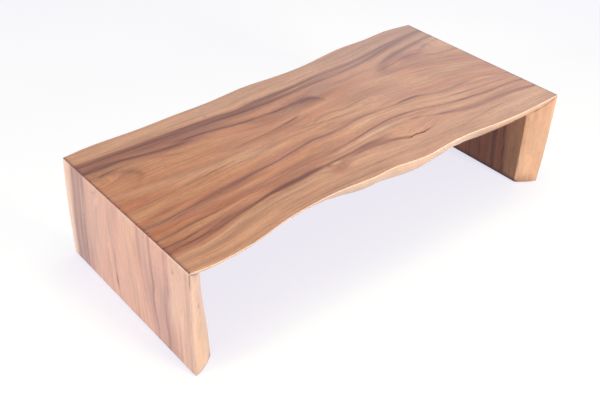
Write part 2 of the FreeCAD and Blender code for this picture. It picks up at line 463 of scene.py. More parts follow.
TOP_FIGURE = Figure(
    guides=(
        Guide(330, ((0, 285), (300, 295), (500, 303), (750, 320), (1000, 335), (1100, 347), (1400, 360), (1500, 350))),
        Guide(245, ((0, 232), (30, 228), (250, 227), (400, 226), (500, 222), (560, 219), (620, 229), (700, 234),
                    (800, 236), (900, 246), (960, 250), (1050, 247), (1150, 256), (1250, 270), (1350, 284),
                    (1450, 294), (1500, 297))),
        Guide(160, ((0, 175), (100, 177), (200, 160), (300, 152), (400, 150), (500, 139), (600, 133), (660, 130),
                    (750, 140), (830, 146), (950, 150), (1050, 155), (1120, 165), (1200, 182), (1250, 198),
                    (1350, 218), (1450, 230), (1500, 232))),
        Guide(50, ((0, 30), (250, 28), (420, 30), (500, 35), (620, 47), (700, 60), (800, 70), (950, 75), (1100, 80),
                   (1200, 75), (1300, 55), (1400, 20), (1500, -30))),
        Guide(-20, ((0, -50), (100, -45), (200, -35), (300, -20), (400, -10), (550, 0), (700, 2), (750, 17),
                    (850, 13), (930, 20), (1050, 10), (1200, -15), (1300, -30), (1400, -60), (1500, -90))),
        Guide(-90, ((0, -132), (60, -131), (120, -122), (200, -117), (300, -115), (400, -101), (500, -92), (600, -75),
                    (650, -70), (750, -72), (800, -62), (850, -57), (950, -63), (1050, -64), (1100, -70), (1140, -80),
                    (1180, -93), (1230, -98), (1300, -100), (1400, -112), (1450, -125), (1500, -140))),
        Guide(-165, ((0, -201), (50, -200), (100, -193), (200, -187), (250, -182), (320, -175), (400, -172),
                     (500, -163), (570, -160), (620, -165), (700, -158), (760, -148), (800, -140), (850, -132),
                     (920, -126), (1000, -132), (1050, -137), (1100, -150), (1150, -163), (1200, -172), (1250, -178),
                     (1300, -185), (1400, -190), (1500, -202))),
        Guide(-225, ((0, -270), (100, -268), (150, -260), (200, -247), (250, -238), (300, -230), (350, -220),
                     (450, -212), (550, -206), (650, -203), (750, -207), (800, -212), (850, -222), (900, -236),
                     (950, -240), (1000, -226), (1050, -214), (1100, -213), (1200, -228), (1300, -236), (1400, -243),
                     (1500, -258))),
        Guide(-345, ((0, -355), (120, -362), (200, -352), (300, -335), (400, -322), (500, -318), (660, -328),
                     (850, -342), (1000, -334), (1200, -347), (1350, -353), (1500, -348))),
    ),
    sap_back=((0, 232), (30, 226), (250, 226), (400, 226), (500, 222), (560, 218), (600, 227), (700, 233), (800, 236),
              (900, 246), (960, 250), (1050, 247), (1150, 256), (1250, 271), (1350, 285), (1450, 295), (1500, 298)),
    sap_front=((0, -280), (110, -279), (160, -269), (230, -250), (330, -238), (500, -222), (600, -213), (750, -216),
               (850, -225), (900, -241), (950, -245), (1000, -236), (1100, -230), (1200, -243), (1300, -249),
               (1400, -252), (1500, -262)),
    streaks=(
        # Dark streaks, from the back edge to the front.
        dark((0, 222, 6, 46, .52), (100, 219, 6, 46, .52), (250, 217, 6, 46, .54), (400, 216, 6, 44, .58),
             (500, 212, 6, 42, .60), (560, 208, 6, 40, .62), (620, 218, 6, 44, .62), (700, 223, 7, 46, .60),
             (800, 226, 8, 42, .54), (900, 236, 8, 38, .46), (1000, 240, 10, 36, .38), (1100, 244, 10, 36, .36),
             (1200, 258, 9, 38, .42), (1300, 272, 9, 38, .46), (1400, 282, 8, 32, .46), (1500, 290, 8, 26, .46)),
        dark((0, 208, 2.8, 3.8, .45), (100, 207, 2.8, 3.8, .50), (210, 205, 3.2, 4.2, .46), (340, 199, 4, 5, .46),
             (490, 194, 4, 5, .50), (560, 189, 4, 5, .50), (640, 188, 4.5, 5.5, .50), (730, 193, 5, 6, .46),
             (820, 201, 5, 6, .46), (1000, 206, 5, 6, .38), (1130, 222, 6, 7, .42), (1240, 243, 6, 7, .48),
             (1330, 261, 6, 7, .40), (1420, 274, 6, 7, 0)),
        dark((0, 176, 9, 12, .45), (60, 178, 10, 12, .42), (120, 174, 6.3, 7.5, .46), (180, 162, 5.6, 6.8, .52),
             (250, 150, 5.6, 6.8, .52), (310, 147, 5.6, 6, .35), (360, 146, 5.6, 6, 0)),
        dark((270, 165, 4.2, 5.2, 0), (310, 163, 4.2, 5.2, .42), (360, 160, 4.2, 5.2, .45), (420, 153, 4.2, 5.2, .45),
             (470, 143, 4.9, 6, .50), (530, 137, 4.9, 6, .54), (600, 133, 4.9, 6, .50), (660, 130, 5.6, 6.8, .54),
             (710, 133, 6.3, 7.5, .58), (755, 134, 9, 11, .62), (786, 135, 13, 14, .64), (812, 126, 15, 15, .62),
             (830, 110, 14, 15, .52), (842, 92, 12, 13, 0)),
        dark((190, 130, 4.2, 6, 0), (230, 121, 4.9, 6.8, .40), (275, 106, 4.9, 6.8, .35), (310, 95, 4.9, 6.8, 0)),
        dark((0, 147, 13, 16, .20), (60, 136, 13, 16, .26), (105, 117, 14, 18, .34), (135, 95, 16, 20, .34),
             (152, 78, 15, 17, 0)),
        dark((60, 22, 13, 11, 0), (105, 45, 13, 11, .26), (125, 62, 13, 11, .30), (145, 82, 12, 12, 0)),
        dark((380, 27, 4.2, 5.2, 0), (430, 31, 4.2, 5.2, .32), (500, 36, 4.2, 5.2, .44), (560, 41, 4.2, 5.2, .48),
             (620, 48, 4.8, 5.6, .46), (660, 56, 5.6, 7, .48), (690, 64, 6.2, 7, .32), (715, 72, 5.6, 6, 0)),
        dark((690, 0, 5.6, 6, 0), (740, 16, 5.6, 6, .40), (790, 22, 4.9, 6, .40), (840, 13, 4.9, 6, .40),
             (890, 16, 4.9, 6, .45), (930, 22, 4.9, 6, .25), (970, 24, 5.6, 6, 0)),
        dark((0, -140, 14, 14, .46), (60, -141, 12, 12, .46), (120, -138, 12, 12, .42), (200, -125, 12, 12, .48),
             (260, -120, 14, 14, .48), (330, -114, 14, 14, .54), (400, -104, 10, 12, .52), (460, -99, 4.9, 6.8, .45),
             (520, -90, 4.2, 6, .48), (580, -80, 4.2, 6, .54), (640, -71, 4.9, 6, .62), (700, -73, 5.6, 7.5, .50),
             (760, -70, 5.6, 7.5, .40), (820, -60, 4.9, 6, .45), (860, -58, 4.9, 6, .50), (930, -62, 4.2, 5.2, .45),
             (1000, -66, 4.9, 6, .55), (1050, -65, 6.3, 7.5, .75), (1100, -70, 6.3, 7.5, .70), (1140, -81, 4.9, 6, .55),
             (1190, -95, 4.2, 5.2, .50), (1240, -98, 4.2, 6, .40), (1300, -96, 5.6, 6, .20), (1340, -100, 5.6, 6, 0)),
        dark((0, -202, 4.2, 4.5, .45), (50, -201, 3.5, 4.5, .45), (100, -194, 3.5, 4.5, .52),
             (200, -188, 3.5, 4.5, .54), (270, -181, 3.5, 4.5, .52), (330, -175, 3.5, 4.5, .44),
             (400, -172, 3.5, 4.5, .35), (500, -161, 3.5, 4.5, .35), (570, -157, 3.5, 4.5, .30),
             (640, -157, 3.5, 4.5, .30), (700, -150, 3.5, 4.5, .40), (760, -142, 3.5, 4.5, .55),
             (810, -133, 3.5, 4.5, .58), (870, -124, 3.5, 4.8, .58), (930, -120, 3.5, 4.8, .56),
             (1000, -127, 3.5, 4.8, .56), (1060, -138, 3.5, 4.5, .45), (1100, -150, 3.5, 4.5, .40),
             (1150, -163, 3.5, 4.5, .50), (1200, -172, 3.5, 5.2, .65), (1260, -179, 3.5, 5.2, .65),
             (1320, -187, 4.2, 5.2, .65), (1400, -190, 4.2, 5.2, .60), (1450, -195, 4.2, 5.2, .55),
             (1500, -203, 4.2, 5.2, .50)),
        dark((0, -266, 25, 8, .24), (80, -266, 26, 7, .26), (140, -258, 26, 7, .34), (200, -243, 20, 8, .50),
             (250, -233, 14, 8, .62), (310, -222, 7, 6, .72), (360, -212, 7, 6.8, .78), (410, -208, 11, 12, .80),
             (470, -205, 12, 12, .80), (530, -200, 12, 9, .78), (580, -198, 5.6, 6, .70), (640, -196, 4.9, 6, .78),
             (700, -192, 4.2, 6.8, .70), (760, -187, 6, 12, .62), (820, -186, 5, 12, .50), (880, -184, 3.5, 6, 0)),
        dark((0, -235, 22, 25, .30), (100, -233, 22, 22, .30), (180, -222, 18, 18, .28), (260, -212, 12, 12, .15),
             (320, -205, 5.6, 6, 0)),
        dark((740, -208, 5.6, 6, 0), (790, -211, 5.6, 6, .30), (840, -219, 4.9, 5.2, .40), (880, -229, 4.2, 5.2, .55),
             (910, -236, 3.5, 4.5, .50), (960, -239, 3.5, 4.5, .45), (1000, -234, 3.5, 4.5, .20),
             (1030, -228, 4.2, 4.5, 0)),
        dark((960, -160, 4.2, 6, 0), (1008, -169, 4.2, 6, .42), (1045, -182, 4.5, 6.5, .44),
             (1090, -199, 5.6, 7.5, .48), (1140, -215, 9, 11, .50), (1200, -226, 10, 12, .50),
             (1300, -233, 10, 12, .50), (1400, -239, 9, 12, .50), (1450, -247, 8, 12, .55),
             (1500, -257, 5.6, 7.5, .60)),
        # The right end: rings of its knot and short lines in front of it.
        dark((1100, 116, 26, 30, 0), (1140, 141, 24, 28, .32), (1200, 176, 18, 24, .44), (1250, 194, 15, 20, .52),
             (1300, 206, 13, 16, .54), (1350, 215, 12, 14, .52), (1400, 222, 11, 14, .50), (1450, 227, 10, 13, .52),
             (1500, 230, 10, 12, .56)),
        pale((1270, 212, 4, 5, 0), (1340, 233, 5, 6, .30), (1425, 249, 6, 6, .36), (1500, 258, 6, 6, .30)),
        dark((1340, 158, 9, 12, 0), (1370, 168, 8, 11, .28), (1400, 182, 7, 10, .36), (1450, 193, 7, 10, .30),
             (1500, 198, 7, 10, .22)),
        dark((1340, 136, 9, 12, 0), (1370, 122, 8, 11, .30), (1400, 110, 8, 10, .36), (1450, 103, 7, 10, .34),
             (1500, 98, 7, 10, .30)),
        dark((1380, -98, 4.2, 5.2, 0), (1410, -108, 4.2, 5.2, .30), (1450, -125, 4.2, 5.2, .40),
             (1500, -141, 4.2, 6, .40)),
        dark((1240, -18, 4.2, 5.2, 0), (1290, -28, 4.2, 5.2, .35), (1330, -35, 4.2, 5.2, .30),
             (1370, -45, 4.2, 5.2, 0)),
        dark((1350, 30, 5.6, 6, 0), (1400, 5, 5.6, 6, .25), (1450, -18, 4.2, 5.2, .30), (1500, -42, 4.2, 6, .40)),
        # Faint lines in the front sapwood.
        dark((360, -284, 3.5, 5, 0), (410, -280, 3.5, 5.2, .30), (480, -275, 3.5, 6, .28), (540, -276, 4, 5, .16),
             (640, -276, 4, 5, .16), (720, -278, 4, 5, .28), (800, -284, 4, 5, 0)),
        dark((330, -312, 3.5, 4.5, 0), (390, -306, 3.5, 4.5, .28), (470, -302, 3.5, 4.5, .30), (540, -301, 4, 5, .38),
             (610, -304, 4, 5, .30), (690, -307, 3.5, 4.5, .25), (760, -312, 3.5, 4.5, 0)),
        dark((820, -280, 4, 5, 0), (890, -278, 4, 5, .22), (980, -281, 4, 5, .26), (1065, -285, 4, 5, .34),
             (1180, -278, 4, 5, .26), (1285, -270, 4, 5, .25), (1380, -270, 4, 5, 0)),
        # Faint lines in the heartwood.
        dark((0, -57, 4, 5, .20), (50, -52, 4, 5, .24), (150, -45, 4, 5, .22), (250, -36, 4, 5, .28),
             (325, -27, 4, 5, .34), (400, -17, 4, 5, .20), (460, -10, 4, 5, 0)),
        dark((90, -72, 4, 5, 0), (170, -62, 4, 5, .26), (240, -56, 4, 5, .22), (310, -50, 4, 5, 0)),
        dark((0, -262, 4, 5, .28), (40, -257, 4, 5, .34), (110, -253, 4, 5, .34), (165, -249, 4, 5, .34),
             (215, -238, 4, 5, 0)),
        dark((620, 6, 4, 5, 0), (650, 3, 4, 5, .18), (740, -10, 4, 5, .26), (805, -15, 4, 5, .34),
             (880, -20, 4, 5, .24), (950, -22, 4, 5, 0)),
        dark((1150, -120, 4, 5, 0), (1200, -132, 4, 5, .25), (1240, -140, 4, 5, .40), (1330, -150, 4, 5, .30),
             (1425, -160, 4, 5, .30), (1480, -168, 4, 5, 0)),
        dark((1150, 70, 5, 6, 0), (1250, 53, 5, 6, .28), (1340, 30, 5, 6, .20), (1400, 10, 5, 6, 0)),
        # A dark red tongue that runs into the open check.
        dark((650, -210, 6, 8, 0), (690, -206, 9, 9, .24), (730, -201, 11, 11, .32), (785, -201, 11, 11, .32),
             (830, -209, 9, 9, .34), (865, -221, 6, 7, .34), (905, -229, 5, 5, 0)),
        red((650, -210, 8, 8, 0), (700, -206, 11, 11, .30), (785, -201, 13, 13, .45), (850, -214, 10, 10, .45),
            (900, -228, 6, 6, 0)),
        # Broad soft marks: dark and red wood on the left, duller sapwood at the right, and pale bands.
        dark((10, 168, 18, 20, .30), (120, 158, 20, 24, .42), (220, 146, 20, 24, .42), (330, 146, 18, 20, .36),
             (430, 150, 16, 16, .22), (520, 150, 14, 14, 0)),
        red((0, -122, 9, 9, .50), (60, -113, 9, 9, .60), (130, -105, 8, 8, .60), (220, -102, 7, 8, .45),
            (300, -98, 7, 7, 0)),
        red((0, -40, 40, 35, .45), (120, -35, 38, 32, .35), (260, -25, 30, 30, 0)),
        red((0, -175, 16, 14, .55), (100, -172, 14, 12, .50), (220, -166, 12, 12, .35), (330, -160, 12, 12, 0)),
        red((0, -258, 30, 14, .55), (120, -254, 28, 12, .50), (220, -236, 20, 8, .35), (320, -222, 12, 8, 0)),
        pale((0, -286, 3, 7, .40), (120, -283, 3, 7, .45), (230, -254, 3, 9, .45), (340, -243, 4, 12, .35),
             (470, -233, 6, 14, .22), (570, -224, 8, 12, .10), (640, -220, 8, 10, 0)),
        dark((880, 310, 60, 50, 0), (1050, 315, 60, 60, .22), (1250, 322, 60, 60, .28), (1500, 326, 60, 60, .28)),
        red((960, 312, 60, 60, 0), (1120, 318, 60, 60, .10), (1500, 326, 60, 60, .12)),
        pale((0, 25, 22, 22, .14), (110, 2, 24, 24, .36), (270, -8, 22, 22, .42), (420, -25, 18, 18, .40),
             (520, -38, 16, 16, .28), (600, -42, 14, 14, 0)),
        pale((600, 96, 14, 14, 0), (660, 105, 16, 16, .24), (760, 112, 14, 14, .20), (870, 152, 14, 16, .24),
             (960, 140, 14, 14, 0)),
        pale((760, -88, 10, 10, 0), (830, -92, 14, 14, .30), (920, -95, 14, 14, .28), (1020, -102, 14, 14, .30),
             (1110, -124, 12, 14, .34), (1190, -148, 12, 12, .30), (1300, -150, 12, 12, .15), (1400, -155, 10, 10, 0)),
        pale((1240, 20, 14, 14, 0), (1330, 6, 16, 16, .34), (1420, -8, 16, 16, .32), (1500, -30, 16, 16, .24)),
        pale((600, -174, 5, 6, 0), (660, -170, 6, 8, .45), (715, -163, 7, 8, .58), (770, -156, 7, 8, .72),
             (850, -149, 7, 8, .90), (905, -147, 6, 7, .90), (940, -148, 6, 7, .70), (990, -148, 6, 8, 0)),
        pale((1000, -176, 8, 10, 0), (1100, -182, 8, 12, .35), (1160, -190, 8, 12, .40), (1250, -200, 8, 10, 0)),
    ),
    patches=(
        Patch(Tone.RED, 602, -236, 34, 20, .55),
        Patch(Tone.DARK, 600, -236, 34, 18, .22),
        Patch(Tone.DARK, 640, -219, 26, 8, .30),
        Patch(Tone.DARK, 587, -205, 8, 5, .55),
        Patch(Tone.PALE, 613, -207, 14, 4, .90),
        Patch(Tone.DARK, 1295, 151, 75, 42, .36),
        Patch(Tone.DARK, 1310, -94, 70, 14, .18),
        Patch(Tone.DARK, 457, 236, 5, 4, .70),
        Patch(Tone.DARK, 1160, 125, 60, 40, .25),
        Patch(Tone.DARK, 240, 180, 200, 30, .25),
        Patch(Tone.DARK, 690, 118, 70, 16, .16),
        Patch(Tone.DARK, 770, -42, 90, 26, .20),
        Patch(Tone.DARK, 960, 38, 120, 32, .34),
        Patch(Tone.DARK, 1391, 211, 60, 14, .18),
        Patch(Tone.PALE, 1086, 92, 90, 22, .34),
        Patch(Tone.PALE, 1375, -304, 130, 30, .40),
        Patch(Tone.PALE, 160, 262, 150, 20, .30),
        Patch(Tone.PALE, 520, 262, 220, 22, .26),
        Patch(Tone.RED, 230, -70, 260, 150, .16),
        Patch(Tone.RED, 1285, 165, 110, 50, .32),
        Patch(Tone.RED, 790, 122, 60, 26, .30),
        Patch(Tone.RED, 110, 88, 50, 40, .22),
        Patch(Tone.DARK, 798, 114, 44, 22, .28),
        Patch(Tone.PALE, 430, 12, 120, 40, .24),
        Patch(Tone.DARK, 100, -113, 70, 14, .22),
        Patch(Tone.PALE, 1130, -165, 170, 45, .18),
    ),
    eyes=(
        Eye(0, 92, 120, 36, 42),
        Eye(640, 98, 190, 34, 40),
        Eye(1500, 145, 130, 40, 36),
        Eye(600, -232, 45, 26, 18),
    ),
    rub_and_painted_highlight_strength=1.0,
    # Painted sheen toward the right end and the back.
    painted_sheen_stop=0.055,
    painted_sheen_back=0.055,
)

LEFT_LEG_FIGURE = Figure(
    guides=(
        Guide(330, ((0, 285), (80, 292), (220, 296), (350, 292))),
        Guide(245, ((0, 250), (50, 254), (100, 258), (150, 262), (200, 266), (350, 268))),
        Guide(160, ((0, 180), (100, 182), (200, 190), (350, 192))),
        Guide(50, ((0, 40), (150, 34), (250, 30), (350, 24))),
        Guide(-20, ((0, -40), (100, -45), (200, -55), (350, -60))),
        Guide(-90, ((0, -110), (60, -113), (130, -112), (200, -120), (350, -135))),
        Guide(-165, ((0, -170), (110, -173), (160, -178), (200, -174), (250, -177), (300, -188), (350, -190))),
        Guide(-225, ((0, -255), (100, -256), (160, -258), (220, -248), (300, -248), (350, -246))),
        Guide(-345, ((0, -355), (180, -358), (350, -362))),
    ),
    sap_back=((0, 246), (40, 252), (100, 258), (150, 262), (200, 266), (350, 268)),
    sap_front=((0, -259), (60, -257), (110, -266), (160, -284), (210, -300), (280, -306), (350, -304)),
    streaks=(
        dark((0, 238, 5, 80, .36), (50, 244, 5, 88, .36), (100, 250, 5, 96, .36), (150, 254, 5, 102, .37),
             (200, 258, 5, 108, .38), (260, 260, 5, 112, .39), (350, 262, 5, 114, .40)),
        dark((0, 186, 20, 20, .33), (60, 184, 20, 20, .23), (120, 186, 18, 18, 0)),
        dark((150, 25, 5, 6, 0), (190, 27, 5, 6, .33), (250, 27, 5, 6, .39), (285, 24, 6, 6, .78), (300, 22, 5, 6, .59),
             (325, 20, 5, 6, .26), (350, 20, 5, 6, .20)),
        dark((0, -112, 10, 12, .45), (60, -114, 10, 12, .39), (110, -116, 10, 10, .33), (160, -122, 8, 8, .13),
             (200, -128, 8, 8, 0)),
        dark((0, -168, 8, 7, .44), (60, -170, 7, 7, .42), (110, -172, 6, 6, .46), (160, -178, 6, 7, .42),
             (200, -173, 6, 7, .40), (250, -176, 6, 6, .44), (300, -187, 6, 7, .42), (350, -189, 6, 7, .40)),
        dark((100, -235, 20, 16, 0), (150, -235, 20, 14, .24), (200, -232, 18, 12, .28), (250, -238, 12, 8, .36),
             (300, -245, 9, 7, .44), (350, -243, 9, 7, .40)),
        dark((0, -240, 16, 12, .34), (60, -240, 16, 12, .28), (120, -245, 14, 10, .22), (170, -250, 12, 9, 0)),
        dark((0, -353, 2, 3, .78), (40, -353, 2, 3, .78), (60, -355, 2, 3, 0)),
        pale((0, 275, 60, 20, .90), (80, 280, 60, 18, .95), (200, 286, 60, 16, .95), (350, 288, 60, 16, .95)),
        red((40, -90, 9, 9, 0), (75, -91, 10, 10, .50), (130, -94, 9, 9, .60), (170, -98, 9, 9, .55),
            (205, -106, 8, 8, .30), (240, -115, 8, 8, 0)),
        red((180, 80, 22, 22, 0), (240, 82, 22, 22, .35), (300, 80, 20, 20, .20), (350, 80, 20, 20, 0)),
    ),
    patches=(
        Patch(Tone.DARK, 47, -277, 6, 6, .60),
        Patch(Tone.DARK, 290, 24, 9, 4, .45),
        Patch(Tone.DARK, 120, -190, 80, 20, .16),
        Patch(Tone.DARK, 175, 222, 320, 52, .26),
        Patch(Tone.PALE, 175, 105, 150, 50, .10),
        Patch(Tone.PALE, 185, -274, 70, 15, .70),
        Patch(Tone.PALE, 150, -300, 130, 28, .30),
    ),
    eyes=(Eye(0, 92, 70, 36, 34), Eye(47, -277, 14, 10, 8)),
    sap_edge=1.5,
    # Painted sheen over the whole outer face of the leg.
    painted_sheen_start=0.13,
    painted_sheen_stop=0.13,
    painted_sheen_back=0.04,
)

RIGHT_LEG_FIGURE = Figure(
    guides=(
        Guide(330, ((0, 350), (120, 347), (350, 348))),
        Guide(245, ((0, 283), (120, 278), (350, 270))),
        Guide(160, ((0, 232), (150, 222), (350, 210))),
        Guide(50, ((0, -30), (120, -46), (240, -40), (350, -48))),
        Guide(-20, ((0, -90), (150, -98), (350, -96))),
        Guide(-90, ((0, -140), (150, -148), (350, -142))),
        Guide(-165, ((0, -202), (120, -205), (240, -190), (350, -188))),
        Guide(-225, ((0, -258), (150, -256), (350, -248))),
        Guide(-345, ((0, -348), (150, -350), (350, -346))),
    ),
    sap_back=((0, 284), (120, 279), (240, 276), (350, 270)),
    sap_front=((0, -262), (120, -258), (240, -254), (350, -250)),
    streaks=(
        dark((0, 278, 10, 16, .46), (120, 274, 12, 18, .44), (240, 270, 12, 18, .42), (350, 264, 12, 20, .40)),
        dark((0, 232, 10, 12, .60), (100, 226, 10, 14, .50), (220, 216, 12, 14, .40), (350, 210, 12, 14, .45)),
        dark((0, 98, 6, 8, .35), (90, 94, 6, 8, .40), (180, 90, 8, 8, .25), (260, 92, 8, 8, 0)),
        dark((0, -42, 6, 8, .40), (100, -52, 7, 8, .45), (200, -50, 7, 9, .30), (350, -56, 8, 8, .25)),
        dark((0, -141, 6, 8, .40), (120, -148, 7, 8, .45), (240, -146, 7, 8, .35), (350, -142, 7, 8, .30)),
        dark((0, -203, 6, 7, .50), (110, -205, 7, 8, .60), (230, -190, 8, 10, .80), (350, -188, 8, 10, .80)),
        dark((0, -257, 8, 10, .60), (120, -254, 7, 9, .72), (240, -250, 7, 9, .75), (350, -246, 7, 9, .72)),
        red((0, 30, 30, 30, .20), (150, 20, 30, 30, .40), (350, 10, 30, 30, .30)),
        red((0, -310, 40, 50, .62), (350, -305, 40, 50, .62)),
        pale((0, -310, 34, 60, .78), (350, -305, 34, 60, .78)),
    ),
    patches=(
        Patch(Tone.DARK, 140, 160, 90, 26, .20),
        Patch(Tone.DARK, 250, -90, 80, 22, .18),
        Patch(Tone.DARK, 299, -114, 42, 10, .60),
    ),
    eyes=(Eye(0, 145, 90, 40, 40), Eye(190, 20, 80, 30, 26)),
    inner_front=((76, -212), (123, -218), (209, -229), (330, -244), (350, -246)),
    inner_heartwood_and_painted_shade=0.20,
    bare=0.14,
    sap_edge=1.5,
)


class Nodes:
    """Nodes of a material or of the surroundings, with short ways to add and join them."""

    def __init__(self, owner: bpy.types.Material | bpy.types.World) -> None:
        """Start with no nodes.

        Args:
            owner: What the nodes belong to.
        """
        owner.use_nodes = True
        self.tree = owner.node_tree
        self.tree.nodes.clear()

    def put(self, value: Value, socket: Socket) -> None:
        """Join an output to a socket, or set the socket's own value.

        Args:
            value: Output of a node, number or colour.
            socket: Input of a node.
        """
        if isinstance(value, Socket):
            self.tree.links.new(value, socket)
        elif isinstance(value, tuple) and socket.type == "RGBA":
            socket.default_value = (*value[:3], 1.0)
        else:
            socket.default_value = value

    def add(self, kind: str, inputs: dict[str | int, Value] | None = None, **settings: object) -> bpy.types.Node:
        """Add a node.

        Args:
            kind: Kind of node, without the start that all their names share.
            inputs: What goes into its sockets, by their names or numbers.
            settings: Its other settings, such as the operation.

        Returns:
            The new node.
        """
        node = self.tree.nodes.new(f"ShaderNode{kind}")
        for name, setting in settings.items():
            setattr(node, name, setting)
        for name, value in (inputs or {}).items():
            self.put(value, node.inputs[name])
        return node

    def math(
        self, kind: str, first: Value, second: Value = 0.0, third: Value = 0.0, clamp: bool = False
    ) -> Socket:
        """Combine two or three values."""
        return self.add("Math", {0: first, 1: second, 2: third}, operation=kind, use_clamp=clamp).outputs["Value"]

    def remap(
        self, value: Value, low: float, high: float, to_low: float = 0.0, to_high: float = 1.0, smooth: bool = False
    ) -> Socket:
        """Carry one range of values onto another, held at both ends."""
        bounds = {"Value": value, "From Min": low, "From Max": high, "To Min": to_low, "To Max": to_high}
        return self.add("MapRange", bounds, interpolation_type="SMOOTHSTEP" if smooth else "LINEAR").outputs["Result"]

    def seen(self) -> Socket:
        """Tell the rays that show a surface: from the eye, by gloss or through glass.

        Returns:
            One for those rays and nothing for the rest.
        """
        rays = self.add("LightPath").outputs
        shown = self.math("MAXIMUM", rays["Is Camera Ray"], rays["Is Glossy Ray"])
        return self.math("MAXIMUM", shown, rays["Is Transmission Ray"])


class Shader(Nodes):
    """One finish under construction: a material with a principled surface."""

    def __init__(self, name: str) -> None:
        """Start a material with its surface and output.

        Args:
            name: Name of the material.
        """
        self.material = bpy.data.materials.new(name)
        super().__init__(self.material)
        self.surface = self.add("BsdfPrincipled")
        self.add("OutputMaterial", {"Surface": self.surface.outputs["BSDF"]})

    def set(self, **values: Value) -> None:
        """Set sockets of the surface, by names with spaces written as underscores."""
        for name, value in values.items():
            self.put(value, self.surface.inputs[name.replace("_", " ")])

    def attribute(self, name: str, output: str = "Fac") -> Socket:
        """Read an attribute of the mesh."""
        return self.add("Attribute", attribute_name=name).outputs[output]

    def place(self) -> Socket:
        """Read the place on the object."""
        return self.add("TexCoord").outputs["Object"]

    def stretched(self, vector: Socket, scale: Place) -> Socket:
        """Scale a place by different amounts each way."""
        return self.add("VectorMath", {0: vector, 1: scale}, operation="MULTIPLY").outputs["Vector"]

    def swayed(self, vector: Socket, value: Socket, reach: float) -> Socket:
        """Push a place across the grain by a value about one half."""
        push = self.add("CombineXYZ", {"Y": self.remap(value, 0, 1, -reach, reach)})
        return self.add("VectorMath", {0: vector, 1: push.outputs["Vector"]}, operation="ADD").outputs["Vector"]

    def noise(
        self, vector: Socket, scale: float = 1.0, detail: float = 2.0, rough: float = 0.5, warp: float = 0.0
    ) -> Socket:
        """Add soft random variation about one half, with finer layers and folds."""
        swings = {"Vector": vector, "Scale": scale, "Detail": detail, "Roughness": rough, "Distortion": warp}
        return self.add("TexNoise", swings).outputs["Fac"]

    def rings(self, vector: Socket, count: float, wander: Socket, reach: float) -> Socket:
        """Lay growth rings across the grain, each darkening slowly and ending sharply.

        Args:
            vector: Place in the even grain.
            count: Rings to a metre.
            wander: A value about one half that crowds and spreads the rings.
            reach: How many rings it can shift them by.

        Returns:
            A value that rises from 0 to 1 in each ring.
        """
        across = self.add("SeparateXYZ", {"Vector": vector}).outputs["Y"]
        even = self.math("MULTIPLY", across, count)
        moved = self.math("ADD", even, self.math("MULTIPLY", wander, reach))
        return self.math("POWER", self.math("FRACT", moved), 2.5)

    def cells(self, vector: Socket) -> Socket:
        """Distance to the nearest of many scattered points."""
        return self.add("TexVoronoi", {"Vector": vector, "Scale": 1.0}).outputs["Distance"]

    def mix(self, share: Value, below: Value, above: Value) -> Socket:
        """Lay a share of one colour over another."""
        factor, first, second, mixed = 0, 6, 7, 2
        return self.add("Mix", {factor: share, first: below, second: above}, data_type="RGBA").outputs[mixed]

    def shade(self, colour: Value, value: Value) -> Socket:
        """Darken or lighten a colour by a value about one."""
        return self.add("VectorMath", {0: colour, "Scale": value}, operation="SCALE").outputs["Vector"]

    def toned(self, colour: Value, share: Value, value: Value) -> Socket:
        """Darken or lighten a colour by a share of a value about one."""
        return self.shade(colour, self.math("MULTIPLY_ADD", self.math("SUBTRACT", value, 1.0), share, 1.0))

    def ramp(self, value: Socket, stops: tuple[tuple[float, Colour], ...]) -> Socket:
        """Turn a value into a colour.

        Args:
            value: The value.
            stops: Values and their colours, rising.

        Returns:
            The colour, blended between the stops.
        """
        node = self.add("ValToRGB", {"Fac": value})
        points = node.color_ramp.elements
        while len(points) < len(stops):
            points.new(0.5)
        for point, (place, colour) in zip(points, stops):
            point.position = place
            point.color = (*colour, 1.0)
        return node.outputs["Color"]

    def bump(self, height: Value, strength: float, distance: float) -> Socket:
        """Give the surface a fine relief."""
        return self.add("Bump", {"Strength": strength, "Distance": distance, "Height": height}).outputs["Normal"]


def tint(red_part: int, green_part: int, blue_part: int) -> Colour:
    """Colour from its screen values, 0 to 255, in linear light."""
    shares = [part / 255 for part in (red_part, green_part, blue_part)]
    return tuple(share / 12.92 if share <= 0.04045 else ((share + 0.055) / 1.055) ** 2.4 for share in shares)


